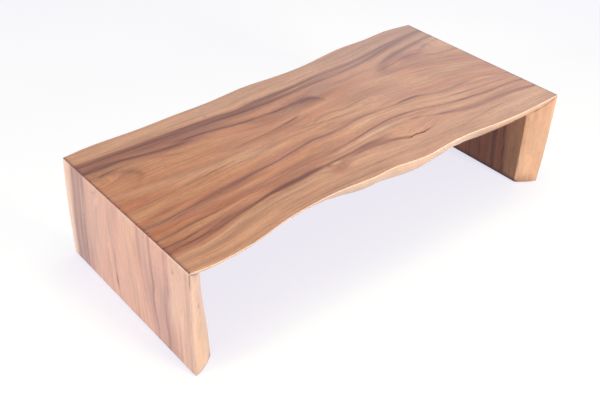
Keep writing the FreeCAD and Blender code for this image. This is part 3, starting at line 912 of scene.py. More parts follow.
@dataclass(frozen=True)
class LongGrain:
    """Oiled long grain: heartwood with dark streaks, paler live edges of sapwood and painted bounce light, worn arrises
    with a painted highlight, and a painted sheen.

    A pattern has its name, how many swings it makes to a metre along, across and through the grain, its finer
    layers and their strength. A fine tone has its pattern, the range read from it and the shades that it gives.
    """

    deep: Colour = tint(158, 99, 72)
    middle: Colour = tint(203, 139, 101)
    golden: Colour = tint(218, 161, 117)
    dusk: Colour = tint(128, 79, 69)
    streak: Colour = tint(98, 56, 53)
    blush: Colour = tint(186, 104, 64)
    sap: Colour = tint(207, 153, 117)
    honey: Colour = tint(236, 192, 154)
    # Cream of the rubbed arrises, where it also paints a highlight, and of the paler live edges, where it also paints
    # bounce light.
    cream: Colour = tint(248, 220, 188)
    rose: Colour = tint(190, 132, 112)
    # Painted sheen: a pale bluish reflection of the surroundings laid into the colour.
    bloom_and_painted_sheen: Colour = tint(224, 226, 240)
    gloss: float = 0.5
    roughness: float = 0.32
    ring_count: float = 60.0
    patterns: tuple[tuple[str, Place, float, float], ...] = (
        ("broad", (1.5, 10, 10), 3, 0.5),
        ("mottle", (7, 30, 26), 4, 0.6),
        ("bands", (1.8, 45, 38), 4, 0.6),
        ("strands", (2.6, 120, 100), 4, 0.65),
        ("threads", (2.2, 105, 90), 4, 0.7),
        ("lines", (4, 300, 240), 3, 0.6),
        ("rosy", (2.6, 30, 26), 3, 0.55),
        ("fibres", (30, 1000, 900), 2, 0.5),
        ("flecks", (16, 330, 280), 2, 0.5),
        ("specks", (60, 300, 260), 2, 0.5),
        ("shown", (1.2, 16, 14), 2, 0.5),
    )
    fine_tones: tuple[tuple[str, float, float, float, float], ...] = (
        ("strands", 0.35, 0.65, 1.06, 0.92),
        ("threads", 0.34, 0.60, 0.91, 1.04),
        ("bands", 0.34, 0.64, 0.95, 1.06),
        ("lines", 0.35, 0.65, 1.06, 0.88),
        ("rings", 0, 1, 1.01, 0.86),
        ("flecks", 0.56, 0.66, 1.01, 0.88),
        ("specks", 0.3, 0.7, 0.92, 1.08),
        ("pores", 0, 1, 1, 0.74),
    )

    def grain(self, wood: Shader) -> dict[str, Socket]:
        """Make the patterns of the grain, each a value about one half, and its rings and pores.

        Args:
            wood: Material under construction.

        Returns:
            The patterns by their names.
        """
        even = wood.attribute("grain", "Vector")
        sway = wood.noise(wood.stretched(even, (3.0, 9, 8)), detail=2)
        place = wood.swayed(even, sway, 0.010)
        grain = {
            name: wood.noise(wood.stretched(place, swings), detail=detail, rough=rough)
            for name, swings, detail, rough in self.patterns
        }
        crowding = wood.math("ADD", grain["bands"], wood.math("MULTIPLY", grain["broad"], 3))
        rings = wood.rings(place, self.ring_count, crowding, 2.4)
        grain["rings"] = wood.math("MULTIPLY", rings, wood.remap(grain["shown"], 0.46, 0.66))
        grain["pores"] = wood.remap(wood.cells(wood.stretched(place, (50, 520, 450))), 0.08, 0.22, 1, 0)
        return grain

    def clear_wood(self, wood: Shader, grain: dict[str, Socket], sap: Socket) -> Socket:
        """Colour the wood without its dark streaks.

        Args:
            wood: Material under construction.
            grain: Patterns of the grain.
            sap: Share of sapwood.

        Returns:
            Heartwood and sapwood, with their red and pale marks.
        """
        bands, strands = grain["bands"], grain["strands"]
        colour = wood.ramp(grain["broad"], ((0.28, self.deep), (0.46, self.middle), (0.70, self.golden)))
        colour = wood.mix(wood.remap(bands, 0.46, 0.28, 0, 0.50), colour, self.deep)
        colour = wood.mix(wood.remap(grain["rosy"], 0.48, 0.66, 0, 0.55), colour, self.rose)
        colour = wood.mix(sap, colour, wood.shade(self.sap, wood.remap(bands, 0.3, 0.7, 0.90, 1.08)))
        blush = wood.math("MULTIPLY", wood.attribute("red"), wood.remap(bands, 0.3, 0.7, 0.5, 1.2), clamp=True)
        colour = wood.mix(blush, colour, self.blush)
        pale = wood.math("MULTIPLY", wood.attribute("pale"), wood.remap(strands, 0.3, 0.7, 0.3, 1.2), clamp=True)
        colour = wood.mix(pale, colour, self.honey)
        # Paler live edges in cream: partly sapwood, partly painted bounce light from the floor.
        colour = wood.mix(wood.attribute("bare"), colour, self.cream)
        return wood.shade(colour, wood.remap(grain["mottle"], 0.3, 0.7, 0.90, 1.10))

    def frayed(self, wood: Shader, grain: dict[str, Socket], calm: Socket) -> Socket:
        """Fray the edges of the dark marks along the grain.

        Args:
            wood: Material under construction.
            grain: Patterns of the grain.
            calm: How far the fraying goes, less in sapwood.

        Returns:
            Strength of the dark marks.
        """
        marked = wood.attribute("dark")
        coarse = wood.remap(grain["strands"], 0.25, 0.75, 0.24, -0.24)
        fray = wood.math("ADD", coarse, wood.remap(grain["lines"], 0.25, 0.75, 0.2, -0.2))
        return wood.math("MULTIPLY_ADD", wood.remap(marked, 0, 0.25), wood.math("MULTIPLY", fray, calm), marked)

    def streaked(
        self, wood: Shader, grain: dict[str, Socket], colour: Socket, frayed: Socket, calm: Socket
    ) -> Socket:
        """Lay the dark streaks over the wood: a soft dusk, with crisp threads where they are strong.

        Args:
            wood: Material under construction.
            grain: Patterns of the grain.
            colour: Colour of the wood below.
            frayed: Strength of the dark marks.
            calm: How plainly threads show, less in sapwood.

        Returns:
            The streaked colour.
        """
        threads = grain["threads"]
        dusky = wood.remap(frayed, 0.04, 0.64, 0, 0.88)
        soft = wood.math("MULTIPLY", dusky, wood.remap(threads, 0.34, 0.62, 1.1, 0.70))
        colour = wood.mix(soft, colour, self.dusk)
        strong = wood.remap(wood.attribute("dark"), 0.08, 0.40, 0, 0.8)
        showing = wood.math("MULTIPLY", strong, wood.remap(grain["mottle"], 0.34, 0.58, 0.1, 1))
        showing = wood.math("MULTIPLY", showing, calm)
        thread = wood.math("MULTIPLY", wood.remap(threads, 0.46, 0.36), showing)
        crisp = wood.math("MAXIMUM", wood.remap(frayed, 0.46, 0.88, 0, 0.73), thread)
        return wood.mix(crisp, colour, self.streak)

    def fine_grain(self, wood: Shader, grain: dict[str, Socket], colour: Socket) -> Socket:
        """Shade the colour with the fine grain, which is calmer on the live edges.

        Args:
            wood: Material under construction.
            grain: Patterns of the grain.
            colour: Colour of the wood below.

        Returns:
            The shaded colour.
        """
        calm = wood.remap(wood.attribute("edge"), 0, 1, 1, 0.2)
        for name, low, high, to_low, to_high in self.fine_tones:
            colour = wood.toned(colour, calm, wood.remap(grain[name], low, high, to_low, to_high))
        return wood.shade(colour, wood.remap(grain["fibres"], 0.3, 0.7, 0.94, 1.06))

    def material(self) -> bpy.types.Material:
        """Make the material.

        Returns:
            Wood that reads its grain and marks from the slab's attributes.
        """
        wood = Shader("oiled_long_grain")
        grain = self.grain(wood)
        fringe = wood.math("ADD", wood.attribute("sap"), wood.remap(grain["strands"], 0.2, 0.8, -0.3, 0.3))
        sap = wood.remap(fringe, 0.32, 0.68, 0, 0.82, smooth=True)
        calm = wood.remap(sap, 0, 0.82, 1, 0.3)
        frayed = self.frayed(wood, grain, calm)
        colour = self.streaked(wood, grain, self.clear_wood(wood, grain, sap), frayed, calm)
        colour = self.fine_grain(wood, grain, colour)
        # Rubbed arrises in cream, partly real wear and partly a painted highlight.
        rubbing_and_painted_highlight = wood.remap(grain["bands"], 0.3, 0.7, 0.8, 1.2)
        colour = wood.mix(wood.math("MULTIPLY", wood.attribute("rub_and_painted_highlight"), rubbing_and_painted_highlight, clamp=True), colour, self.cream)
        # Painted sheen: a pale reflection of the surroundings, weaker over the dark streaks.
        bloom_and_painted_sheen = wood.math("MULTIPLY", wood.attribute("bloom_and_painted_sheen"), wood.remap(frayed, 0.1, 0.6, 1, 0.45))
        colour = wood.mix(bloom_and_painted_sheen, colour, self.bloom_and_painted_sheen)
        hollow = wood.math("MULTIPLY", grain["pores"], 0.6)
        relief = wood.math("SUBTRACT", wood.remap(grain["fibres"], 0, 1, 0, 0.4), hollow)
        wood.set(
            Base_Color=colour,
            Roughness=wood.remap(grain["lines"], 0.2, 0.8, self.roughness - 0.05, self.roughness + 0.07),
            Specular_IOR_Level=self.gloss,
            Normal=wood.bump(relief, 0.25, 0.0003),
        )
        return wood.material


@dataclass(frozen=True)
class EndGrain:
    """Sawn end grain of the feet and mitres, darker and open-pored."""

    early: Colour = tint(166, 118, 84)
    late: Colour = tint(112, 74, 54)
    roughness: float = 0.7

    def material(self) -> bpy.types.Material:
        """Make the material.

        Returns:
            End grain with growth bands, pores and saw marks.
        """
        wood = Shader("sawn_end_grain")
        grain = wood.attribute("grain", "Vector")
        warped = wood.noise(wood.stretched(grain, (3, 22, 30)), detail=3, warp=0.6)
        rings = wood.noise(wood.stretched(grain, (1, 90, 24)), detail=3, rough=0.6)
        pores = wood.remap(wood.cells(wood.stretched(grain, (40, 700, 700))), 0.12, 0.3, 1, 0)
        colour = wood.mix(wood.remap(rings, 0.3, 0.7), self.late, self.early)
        colour = wood.shade(colour, wood.remap(warped, 0.2, 0.8, 0.8, 1.15))
        colour = wood.shade(colour, wood.remap(pores, 0, 1, 1, 0.6))
        saw = wood.noise(wood.stretched(grain, (0, 900, 12)), detail=1)
        wood.set(
            Base_Color=colour,
            Roughness=self.roughness,
            Normal=wood.bump(wood.math("SUBTRACT", saw, pores), 0.3, 0.0004),
        )
        return wood.material


@dataclass(frozen=True)
class TenonWood:
    """Planed hardwood of the loose tenons."""

    light: Colour = tint(206, 164, 116)
    dark: Colour = tint(160, 112, 72)

    def material(self) -> bpy.types.Material:
        """Make the material.

        Returns:
            Planed wood with its grain along the tenon.
        """
        wood = Shader("planed_tenon_wood")
        place = wood.stretched(wood.place(), (220, 400, 220))
        grain = wood.noise(place, detail=4, rough=0.6, warp=0.5)
        wood.set(
            Base_Color=wood.mix(wood.remap(grain, 0.3, 0.7), self.dark, self.light),
            Roughness=wood.remap(grain, 0.2, 0.8, 0.55, 0.7),
            Normal=wood.bump(grain, 0.2, 0.0003),
        )
        return wood.material


@dataclass(frozen=True)
class MouldedPlastic:
    """Moulded plastic of the glide cups."""

    body: Colour = tint(44, 38, 34)

    def material(self) -> bpy.types.Material:
        """Make the material.

        Returns:
            Dark plastic with a fine moulded grain.
        """
        plastic = Shader("moulded_glide_plastic")
        grain = plastic.noise(plastic.place(), scale=2600, detail=2)
        plastic.set(
            Base_Color=plastic.shade(self.body, plastic.remap(grain, 0.2, 0.8, 0.85, 1.15)),
            Roughness=plastic.remap(grain, 0.2, 0.8, 0.4, 0.55),
            Normal=plastic.bump(grain, 0.15, 0.0002),
        )
        return plastic.material


@dataclass(frozen=True)
class PressedFelt:
    """Pressed wool felt of the glide discs."""

    light: Colour = tint(132, 112, 92)
    dark: Colour = tint(84, 70, 58)

    def material(self) -> bpy.types.Material:
        """Make the material.

        Returns:
            Soft felt with tufts and hairs.
        """
        felt = Shader("pressed_glide_felt")
        tufts = felt.noise(felt.place(), scale=900, detail=4, rough=0.7, warp=1.2)
        hairs = felt.noise(felt.stretched(felt.place(), (3200, 900, 3200)), detail=2, warp=2.0)
        fleece = felt.math("ADD", felt.math("MULTIPLY", tufts, 0.6), felt.math("MULTIPLY", hairs, 0.4))
        felt.set(
            Base_Color=felt.mix(felt.remap(fleece, 0.3, 0.7), self.dark, self.light),
            Roughness=0.95,
            Sheen_Weight=0.4,
            Sheen_Roughness=0.6,
            Normal=felt.bump(fleece, 0.6, 0.0006),
        )
        return felt.material


@dataclass(frozen=True)
class ZincSteel:
    """Zinc-plated steel of the glide screws."""

    light: Colour = tint(186, 184, 178)
    dull: Colour = tint(140, 138, 132)

    def material(self) -> bpy.types.Material:
        """Make the material.

        Returns:
            Plated steel with a faint bloom.
        """
        steel = Shader("zinc_plated_steel")
        bloom_and_painted_sheen = steel.noise(steel.place(), scale=700, detail=3)
        steel.set(
            Base_Color=steel.mix(steel.remap(bloom_and_painted_sheen, 0.3, 0.7), self.dull, self.light),
            Metallic=1.0,
            Roughness=steel.remap(bloom_and_painted_sheen, 0.2, 0.8, 0.28, 0.45),
            Normal=steel.bump(bloom_and_painted_sheen, 0.1, 0.0002),
        )
        return steel.material


@dataclass
class Slab:
    """One plank of the table with two live edges, built as a swept loop and sawn to its ends.

    A ripple of the live edges has its strength, its turns along and through the slab and a count of shifts. The
    painted sheen, a pale reflection of the surroundings laid into the colour, starts at a place across the slab and
    is full a little further back. A face counts as sawn within a hair of an end, or inside a room that is set in from
    the live edges and the faces.
    """

    name: str
    node: str
    front: LiveEdge
    back: LiveEdge
    figure: Figure
    mesh_step: float = 0.007
    face_steps: int = 260
    inner_steps: int = 70
    edge_steps: int = 14
    arris_steps: int = 5
    ripple: float = 0.0009
    ripple_room: float = 0.05
    ripples: tuple[tuple[float, float, float, float], ...] = ((1, 61, 40, 1), (0.7, 133, -75, 2), (0.5, 247, 110, 3))
    back_shift: float = 1.7
    edge_start: float = 0.006
    edge_stop: float = 0.004
    edge_reach: float = 0.005
    fold_dark: float = 0.9
    fold_reach: float = 0.0045
    fold_depth: float = 0.003
    glue_dark: float = 0.6
    glue_reach: float = 0.004
    # Where the painted sheen rises toward the back, over what width, and how deep it reaches.
    painted_sheen_from: float = 0.05
    painted_sheen_over: float = 0.22
    painted_sheen_depth: float = 0.01
    hair: float = 0.0002
    room_inset: float = 0.004
    room_skin: float = 0.0025
    sharp: float = math.radians(28)
    edge_knots: tuple[EdgeKnot, ...] = ()
    piece: bpy.types.Object | None = field(init=False, default=None)

    def ends(self, depth: Array) -> tuple[Array, Array]:
        """Run at which the slab starts and stops, at a depth."""
        raise NotImplementedError

    def shares(self) -> Array:
        """Shares of the run at which the loop is set."""
        raise NotImplementedError

    def placed(self, run: Array, across: Array, depth: Array) -> Array:
        """Points in the table's frame."""
        raise NotImplementedError

    def unplaced(self, points: Array) -> tuple[Array, Array, Array]:
        """Run, across and depth of points in the table's frame."""
        raise NotImplementedError

    def plank_run(self, run: Array) -> Array:
        """Place along the whole unfolded plank."""
        raise NotImplementedError

    def eased(self, share: Array, depth: Array) -> Array:
        """Depths of the loop, pulled in where an end is eased."""
        raise NotImplementedError

    def from_fold(self, run: Array) -> Array:
        """Distance from the nearest folded corner."""
        raise NotImplementedError

    def rounded(self, start: Array, corner: Array, stop: Array) -> list[Array]:
        """Points between two ends of a rounded corner, leaving out both ends."""
        shares = [step / self.arris_steps for step in range(1, self.arris_steps)]
        return [(1 - u) ** 2 * start + 2 * u * (1 - u) * corner + u * u * stop for u in shares]

    def loop(self, share: Array) -> tuple[Array, Array]:
        """Outline of the slab at each share of its run.

        Args:
            share: Shares of the run.

        Returns:
            Across and depth of the outline, one row for each share.
        """
        reach, inner = SIZES.arris, SIZES.inner_arris
        deep = SIZES.thickness
        flat = np.zeros_like(share)

        def at(edge: LiveEdge, depth: float, inward: float = 0.0) -> Array:
            """Across and depth of a live edge, or of a line inward of it."""
            place = edge.across(share, flat + depth) - edge.side.value * inward
            return np.stack([place, flat + depth])

        columns: list[Array] = []
        near, far = at(self.front, 0, reach), at(self.back, 0, reach)
        columns += [near + (far - near) * k / self.face_steps for k in range(self.face_steps + 1)]
        columns += self.rounded(far, at(self.back, 0), at(self.back, reach))
        depths = np.linspace(reach, deep - inner, self.edge_steps + 1)
        columns += [at(self.back, depth) for depth in depths]
        near, far = at(self.front, deep, inner), at(self.back, deep, inner)
        columns += self.rounded(at(self.back, deep - inner), at(self.back, deep), far)
        columns += [far + (near - far) * k / self.inner_steps for k in range(self.inner_steps + 1)]
        columns += self.rounded(near, at(self.front, deep), at(self.front, deep - inner))
        columns += [at(self.front, depth) for depth in depths[::-1]]
        columns += self.rounded(at(self.front, reach), at(self.front, 0), at(self.front, 0, reach))
        across, depth = np.stack(columns, axis=-1)
        return across, depth

    def waver(self, run: Array, across: Array, depth: Array) -> Array:
        """Hand-worked waver of the live edges, fading out at the ends and on the faces.

        Args:
            run: Runs of the points.
            across: Places across.
            depth: Depths.

        Returns:
            How far each point moves across.
        """
        along = self.plank_run(run)
        shift = np.where(across > 0, self.back_shift, 0.0)
        waves = [part * np.sin(along * a + depth * b + c * shift) for part, a, b, c in self.ripples]
        body = np.sin(np.pi * np.clip(depth / SIZES.thickness, 0, 1)) ** 0.7
        start, stop = self.ends(depth)
        room = np.minimum(run - start, stop - run)
        return self.ripple * sum(waves) * body * smooth_step(room / self.ripple_room)

    def grid(self) -> tuple[Array, list[tuple[int, ...]]]:
        """Points and faces of the whole slab.

        Returns:
            Points in the table's frame, and faces with the two end caps last.
        """
        share = self.shares()
        across, depth = self.loop(share)
        shares = np.repeat(share[:, None], across.shape[1], axis=1)
        depth = self.eased(shares, depth)
        start, stop = self.ends(depth)
        run = start + shares * (stop - start)
        on_edge = (depth > SIZES.arris * 0.5) & (depth < SIZES.thickness - SIZES.inner_arris * 0.5)
        across = across + np.where(on_edge, self.waver(run, across, depth), 0)
        rows, count = across.shape
        points = self.placed(run.ravel(), across.ravel(), depth.ravel())
        faces: list[tuple[int, ...]] = []
        for i in range(rows - 1):
            here, there = i * count, (i + 1) * count
            for j in range(count):
                k = (j + 1) % count
                faces.append((here + j, here + k, there + k, there + j))
        faces.append(tuple(range(count - 1, -1, -1)))
        faces.append(tuple(range((rows - 1) * count, rows * count)))
        return points, faces

    def cutters(self) -> list[bmesh.types.BMesh]:
        """Rooms that are cut from the slab for what it holds."""
        return []

    def build(self) -> bpy.types.Object:
        """Make the slab's mesh, cut its rooms and give it its grain.

        Returns:
            The new piece, riding on the table's body.
        """
        points, faces = self.grid()
        mesh = bpy.data.meshes.new(self.name)
        mesh.from_pydata(points.tolist(), [], faces)
        shell = bmesh.new()
        shell.from_mesh(mesh)
        bmesh.ops.recalc_face_normals(shell, faces=shell.faces)
        shell.to_mesh(mesh)
        shell.free()
        self.piece = bpy.data.objects.new(self.name, mesh)
        bpy.context.scene.collection.objects.link(self.piece)
        self.cut_rooms()
        self.mark()
        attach(self.piece, "root")
        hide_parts(self.node)
        return self.piece

    def cut_rooms(self) -> None:
        """Take the rooms out of the slab."""
        rooms = self.cutters()
        if not rooms:
            return
        joined = bpy.data.meshes.new(f"{self.name}_rooms")
        whole = bmesh.new()
        for room in rooms:
            room.to_mesh(joined)
            whole.from_mesh(joined)
            room.free()
        whole.to_mesh(joined)
        whole.free()
        tool = bpy.data.objects.new(joined.name, joined)
        bpy.context.scene.collection.objects.link(tool)
        saw = self.piece.modifiers.new("rooms", "BOOLEAN")
        saw.operation = "DIFFERENCE"
        saw.solver = "EXACT"
        saw.object = tool
        seen = bpy.context.evaluated_depsgraph_get()
        cut = bpy.data.meshes.new_from_object(self.piece.evaluated_get(seen))
        self.piece.modifiers.clear()
        self.piece.data = cut
        cut.name = self.name
        bpy.data.objects.remove(tool)
        bpy.data.meshes.remove(joined)

    def mark(self) -> None:
        """Store the grain and the marks of the figure on every point of the mesh."""
        mesh = self.piece.data
        points = np.empty(len(mesh.vertices) * 3)
        mesh.vertices.foreach_get("co", points)
        run, across, depth = self.unplaced(points.reshape(-1, 3))
        figure = self.figure
        traced = self.traced(run, across, depth)
        grain = np.stack([self.plank_run(run), figure.level(run, traced), depth], axis=-1)
        self.store("grain", grain.ravel(), "FLOAT_VECTOR", "vector")
        sap = figure.sapwood(run, traced)
        marks = {tone: figure.tone(tone, run, traced) for tone in Tone}
        # Inner faces darker and redder: partly heartwood, partly painted shade under the table.
        inner = figure.inner_heartwood_and_painted_shade * self.inwardness(depth) * (1 - sap)
        marks[Tone.RED] = np.maximum(marks[Tone.RED], figure.inner_red * inner)
        edge = self.on_edge(run, across, depth)
        joints_and_foot_shadow = np.maximum(self.fold_line(run, depth), edge * self.mitre_line(run, depth))
        # Painted contact shadow at the foot, laid in with the dark glue lines.
        joints_and_foot_shadow = np.maximum(joints_and_foot_shadow, self.painted_foot_shadow(run, depth))
        marks[Tone.DARK] = 1 - (1 - marks[Tone.DARK]) * (1 - inner) * (1 - joints_and_foot_shadow)
        for knot in self.edge_knots:
            marks[knot.tone] = np.maximum(marks[knot.tone], edge * knot.strength(run, across, depth))
        for tone, values in marks.items():
            self.store(tone.value, values, "FLOAT", "value")
        self.store("sap", sap, "FLOAT", "value")
        self.store("edge", edge, "FLOAT", "value")
        # Paler live edges, partly painted bounce light.
        self.store("bare", edge * figure.bare, "FLOAT", "value")
        # Painted sheen on the outer face.
        self.store("bloom_and_painted_sheen", self.bloom_and_painted_sheen(run, across, depth), "FLOAT", "value")
        # Rubbed arrises, with a painted highlight.
        self.store("rub_and_painted_highlight", self.rub_and_painted_highlight(run, across, depth), "FLOAT", "value")
        mesh.polygons.foreach_set("use_smooth", np.ones(len(mesh.polygons), dtype=bool))
        mesh.set_sharp_from_angle(angle=self.sharp)

    def store(self, name: str, values: Array, kind: str, part: str) -> None:
        """Keep one value for each point as a named attribute."""
        attribute = self.piece.data.attributes.new(name, kind, "POINT")
        attribute.data.foreach_set(part, np.ascontiguousarray(values, dtype=np.float32).ravel())

    def along(self, run: Array, depth: Array) -> Array:
        """Share of the run at a depth."""
        start, stop = self.ends(depth)
        return np.clip((run - start) / (stop - start), 0, 1)

    def traced(self, run: Array, across: Array, depth: Array) -> Array:
        """Carry points out through the slab along its rings, to where these meet the outer face.

        Args:
            run: Runs of the points.
            across: Places across.
            depth: Depths.

        Returns:
            Places across on the outer face.
        """
        share = self.along(run, depth)
        flat = np.zeros_like(depth)
        front = self.figure.boundary(self.figure.sap_front, run)
        back = self.figure.boundary(self.figure.sap_back, run)
        inner_back = back + self.back.across(share, depth) - self.back.across(share, flat)
        inner_front = front + self.front.across(share, depth) - self.front.across(share, flat)
        if self.figure.inner_front:
            deep_front = self.figure.boundary(self.figure.inner_front, run)
            inner_front = front + (deep_front - front) * depth / SIZES.thickness
        part = (across - inner_front) / (inner_back - inner_front)
        held = np.clip(part, 0, 1)
        within = front + held * (back - front) + self.figure.drift * depth * 4 * held * (1 - held)
        beyond = np.where(part < 0, across - inner_front + front, across - inner_back + back)
        return np.where(part == held, within, beyond)

    def nearest_edge(self, run: Array, across: Array, depth: Array, at: Array) -> Array:
        """Distance across from the live edge on the same side, read at another depth."""
        share = self.along(run, depth)
        return across - np.where(across > 0, self.back.across(share, at), self.front.across(share, at))

    def inwardness(self, depth: Array) -> Array:
        """Nothing on the outer three quarters of the depth, rising to one on the inner face."""
        return smooth_step(depth / SIZES.thickness * 4 - 3)

    def on_edge(self, run: Array, across: Array, depth: Array) -> Array:
        """One on the live edges, fading to nothing at their arrises."""
        body = smooth_step(depth / self.edge_start) * smooth_step((SIZES.thickness - depth) / self.edge_stop)
        return bell(self.nearest_edge(run, across, depth, depth), self.edge_reach) * body

    def fold_line(self, run: Array, depth: Array) -> Array:
        """Darkening of the outer face along a glued fold."""
        return self.fold_dark * bell(self.from_fold(run), self.fold_reach) * (depth < self.fold_depth)

    def mitre_line(self, run: Array, depth: Array) -> Array:
        """Darkening of the live edges along a glued mitre."""
        return self.glue_dark * bell(self.from_fold(run) - depth, self.glue_reach)

    def painted_foot_shadow(self, run: Array, depth: Array) -> Array:
        """Painted contact shadow along a foot, where it meets the floor."""
        return np.zeros_like(run)

    def bloom_and_painted_sheen(self, run: Array, across: Array, depth: Array) -> Array:
        """Painted sheen on the outer face: a pale reflection of the surroundings laid into the colour, from end to end
        of the slab and stronger to the back.

        Args:
            run: Runs of the points.
            across: Places across.
            depth: Depths.

        Returns:
            Strength of the painted sheen.
        """
        start, stop = self.figure.painted_sheen_start, self.figure.painted_sheen_stop
        along = self.along(run, depth)
        share = start + (stop - start) * along
        spread = 0.4 + 0.6 * smooth_step(3 * along)
        share = share + self.figure.painted_sheen_back * smooth_step((across - self.painted_sheen_from) / self.painted_sheen_over) * spread
        return share * smooth_step(1 - depth / self.painted_sheen_depth)

    def rub_and_painted_highlight(self, run: Array, across: Array, depth: Array) -> Array:
        """How near each point lies to an outer arris, where the finish is rubbed pale and a highlight is painted in."""
        off = np.hypot(self.nearest_edge(run, across, depth, np.zeros_like(depth)), depth)
        return self.figure.rub_and_painted_highlight_strength * bell(off - SIZES.arris * 0.35, SIZES.arris * 0.34)

    def dress(self, long_grain: bpy.types.Material, end_grain: bpy.types.Material) -> None:
        """Give the faces their wood: long grain outside, end grain on what was sawn across.

        Args:
            long_grain: Material of the faces and live edges.
            end_grain: Material of the mitres, the feet and the rooms.
        """
        mesh = self.piece.data
        mesh.materials.clear()
        mesh.materials.append(long_grain)
        mesh.materials.append(end_grain)
        centres = np.empty(len(mesh.polygons) * 3)
        mesh.polygons.foreach_get("center", centres)
        run, across, depth = self.unplaced(centres.reshape(-1, 3))
        sawn = self.is_sawn(run, across, depth)
        mesh.polygons.foreach_set("material_index", sawn.astype(np.int32))

    def is_sawn(self, run: Array, across: Array, depth: Array) -> Array:
        """Tell the faces that were sawn or bored.

        Args:
            run: Runs of the middles of the faces.
            across: Their places across.
            depth: Their depths.

        Returns:
            True for faces on an end or inside the slab.
        """
        start, stop = self.ends(depth)
        at_end = (run < start + self.hair) | (run > stop - self.hair)
        share = self.along(run, depth)
        behind = across > self.front.across(share, depth) + self.room_inset
        before = across < self.back.across(share, depth) - self.room_inset
        within = (depth > self.room_skin) & (depth < SIZES.thickness - self.room_skin)
        return at_end | (behind & before & within)


def rounded_bar(thickness: float, width: float, length: float, steps: int = 8) -> bmesh.types.BMesh:
    """Bar along Z with its two narrow edges half round.

    Args:
        thickness: Size along X.
        width: Size along Y.
        length: Size along Z.
        steps: Flats in each half round.

    Returns:
        The bar, centred.
    """
    radius = thickness / 2
    reach = width / 2 - radius
    outline: list[Point] = []
    for side in (1, -1):
        for step in range(steps + 1):
            angle = math.pi * step / steps
            outline.append((side * radius * math.cos(angle), side * (reach + radius * math.sin(angle))))
    return prism(outline, length)


def prism(outline: list[Point], length: float) -> bmesh.types.BMesh:
    """Straight prism on an outline.

    Args:
        outline: Corners of the outline, in order.
        length: Size along Z.

    Returns:
        The prism, centred along Z.
    """
    solid = bmesh.new()
    low = [solid.verts.new((x, y, -length / 2)) for x, y in outline]
    high = [solid.verts.new((x, y, length / 2)) for x, y in outline]
    solid.faces.new(low[::-1])
    solid.faces.new(high)
    for k in range(len(outline)):
        after = (k + 1) % len(outline)
        solid.faces.new((low[k], low[after], high[after], high[k]))
    bmesh.ops.recalc_face_normals(solid, faces=solid.faces)
    return solid


def turned(profile: list[Point], place: Vector, steps: int = 48) -> bmesh.types.BMesh:
    """Solid turned about an upright axis.

    Args:
        profile: Radius and height of each corner, from the axis at the bottom to the axis at the top.
        place: Where the axis stands.
        steps: Flats round the axis.

    Returns:
        The closed solid.
    """
    solid = bmesh.new()
    rings = []
    for radius, height in profile:
        if radius == 0:
            rings.append([solid.verts.new((place.x, place.y, height))])
            continue
        angles = [2 * math.pi * k / steps for k in range(steps)]
        rings.append([
            solid.verts.new((place.x + radius * math.cos(a), place.y + radius * math.sin(a), height)) for a in angles
        ])
    for low, high in zip(rings, rings[1:]):
        for k in range(steps):
            after = (k + 1) % steps
            corners = [low[k % len(low)], low[after % len(low)], high[after % len(high)], high[k % len(high)]]
            solid.faces.new(list(dict.fromkeys(corners)))
    bmesh.ops.recalc_face_normals(solid, faces=solid.faces)
    return solid


@dataclass(frozen=True)
class Mortises:
    """Rooms for the loose tenons of one mitre."""

    end: End
    count: int = 6
    thickness: float = 0.0104
    width: float = 0.0404
    length: float = 0.0516

    def rooms(self) -> list[bmesh.types.BMesh]:
        """Make the rooms.

        Returns:
            One room round each tenon.
        """
        turn = Matrix.Rotation(-self.end.value * math.pi / 4, 4, "Y")
        found = []
        for number in range(1, self.count + 1):
            low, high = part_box(f"{self.end.name.lower()}_mitre_tenon_{number}")
            bar = rounded_bar(self.thickness, self.width, self.length)
            bmesh.ops.transform(bar, matrix=Matrix.Translation((low + high) / 2) @ turn, verts=bar.verts)
            found.append(bar)
        return found


@dataclass(frozen=True)
class GlideRecesses:
    """Rooms for the glides in one foot."""

    end: End
    radius: float = 0.0172
    top: float = 0.008
    pilot: float = 0.00195
    pilot_top: float = 0.028

    def rooms(self) -> list[bmesh.types.BMesh]:
        """Make the rooms.

        Returns:
            One room round each glide cup and its screw.
        """
        found = []
        for side in Side:
            low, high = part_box(f"{self.end.name.lower()}_{side.name.lower()}_glide_cup")
            profile = [(0, 0), (self.radius, 0), (self.radius, self.top), (self.pilot, self.top),
                       (self.pilot, self.pilot_top), (0, self.pilot_top)]
            found.append(turned(profile, (low + high) / 2))
        return found


@dataclass(frozen=True)
class OpenCheck:
    """A short crack that opened in the top face while the plank dried, in millimetres along, across and wide."""

    line: tuple[Place, ...] = (
        (866, -230.5, 0.5), (875, -235, 2.2), (884, -238, 3.8), (893, -238.6, 4.4), (901, -237.6, 3.4),
        (907, -235.4, 2.0), (914, -234.4, 2.2), (922, -234.2, 3.0), (930, -236.2, 4.2), (939, -239.8, 4.8),
        (948, -240.8, 4.2), (957, -239.4, 2.8), (966, -237.4, 2.0), (976, -236, 1.4), (988, -235, 0.5),
    )
    depth: float = 0.004

    def room(self) -> bmesh.types.BMesh:
        """The crack as a thin crooked room.

        Returns:
            The room to cut from the top.
        """
        outline: list[Point] = []
        for side, line in ((0.5, self.line), (-0.5, self.line[::-1])):
            outline += [(run * MM - SIZES.length / 2, (across + side * width) * MM) for run, across, width in line]
        room = prism(outline, 2 * self.depth)
        bmesh.ops.translate(room, vec=(0, 0, SIZES.height), verts=room.verts)
        return room


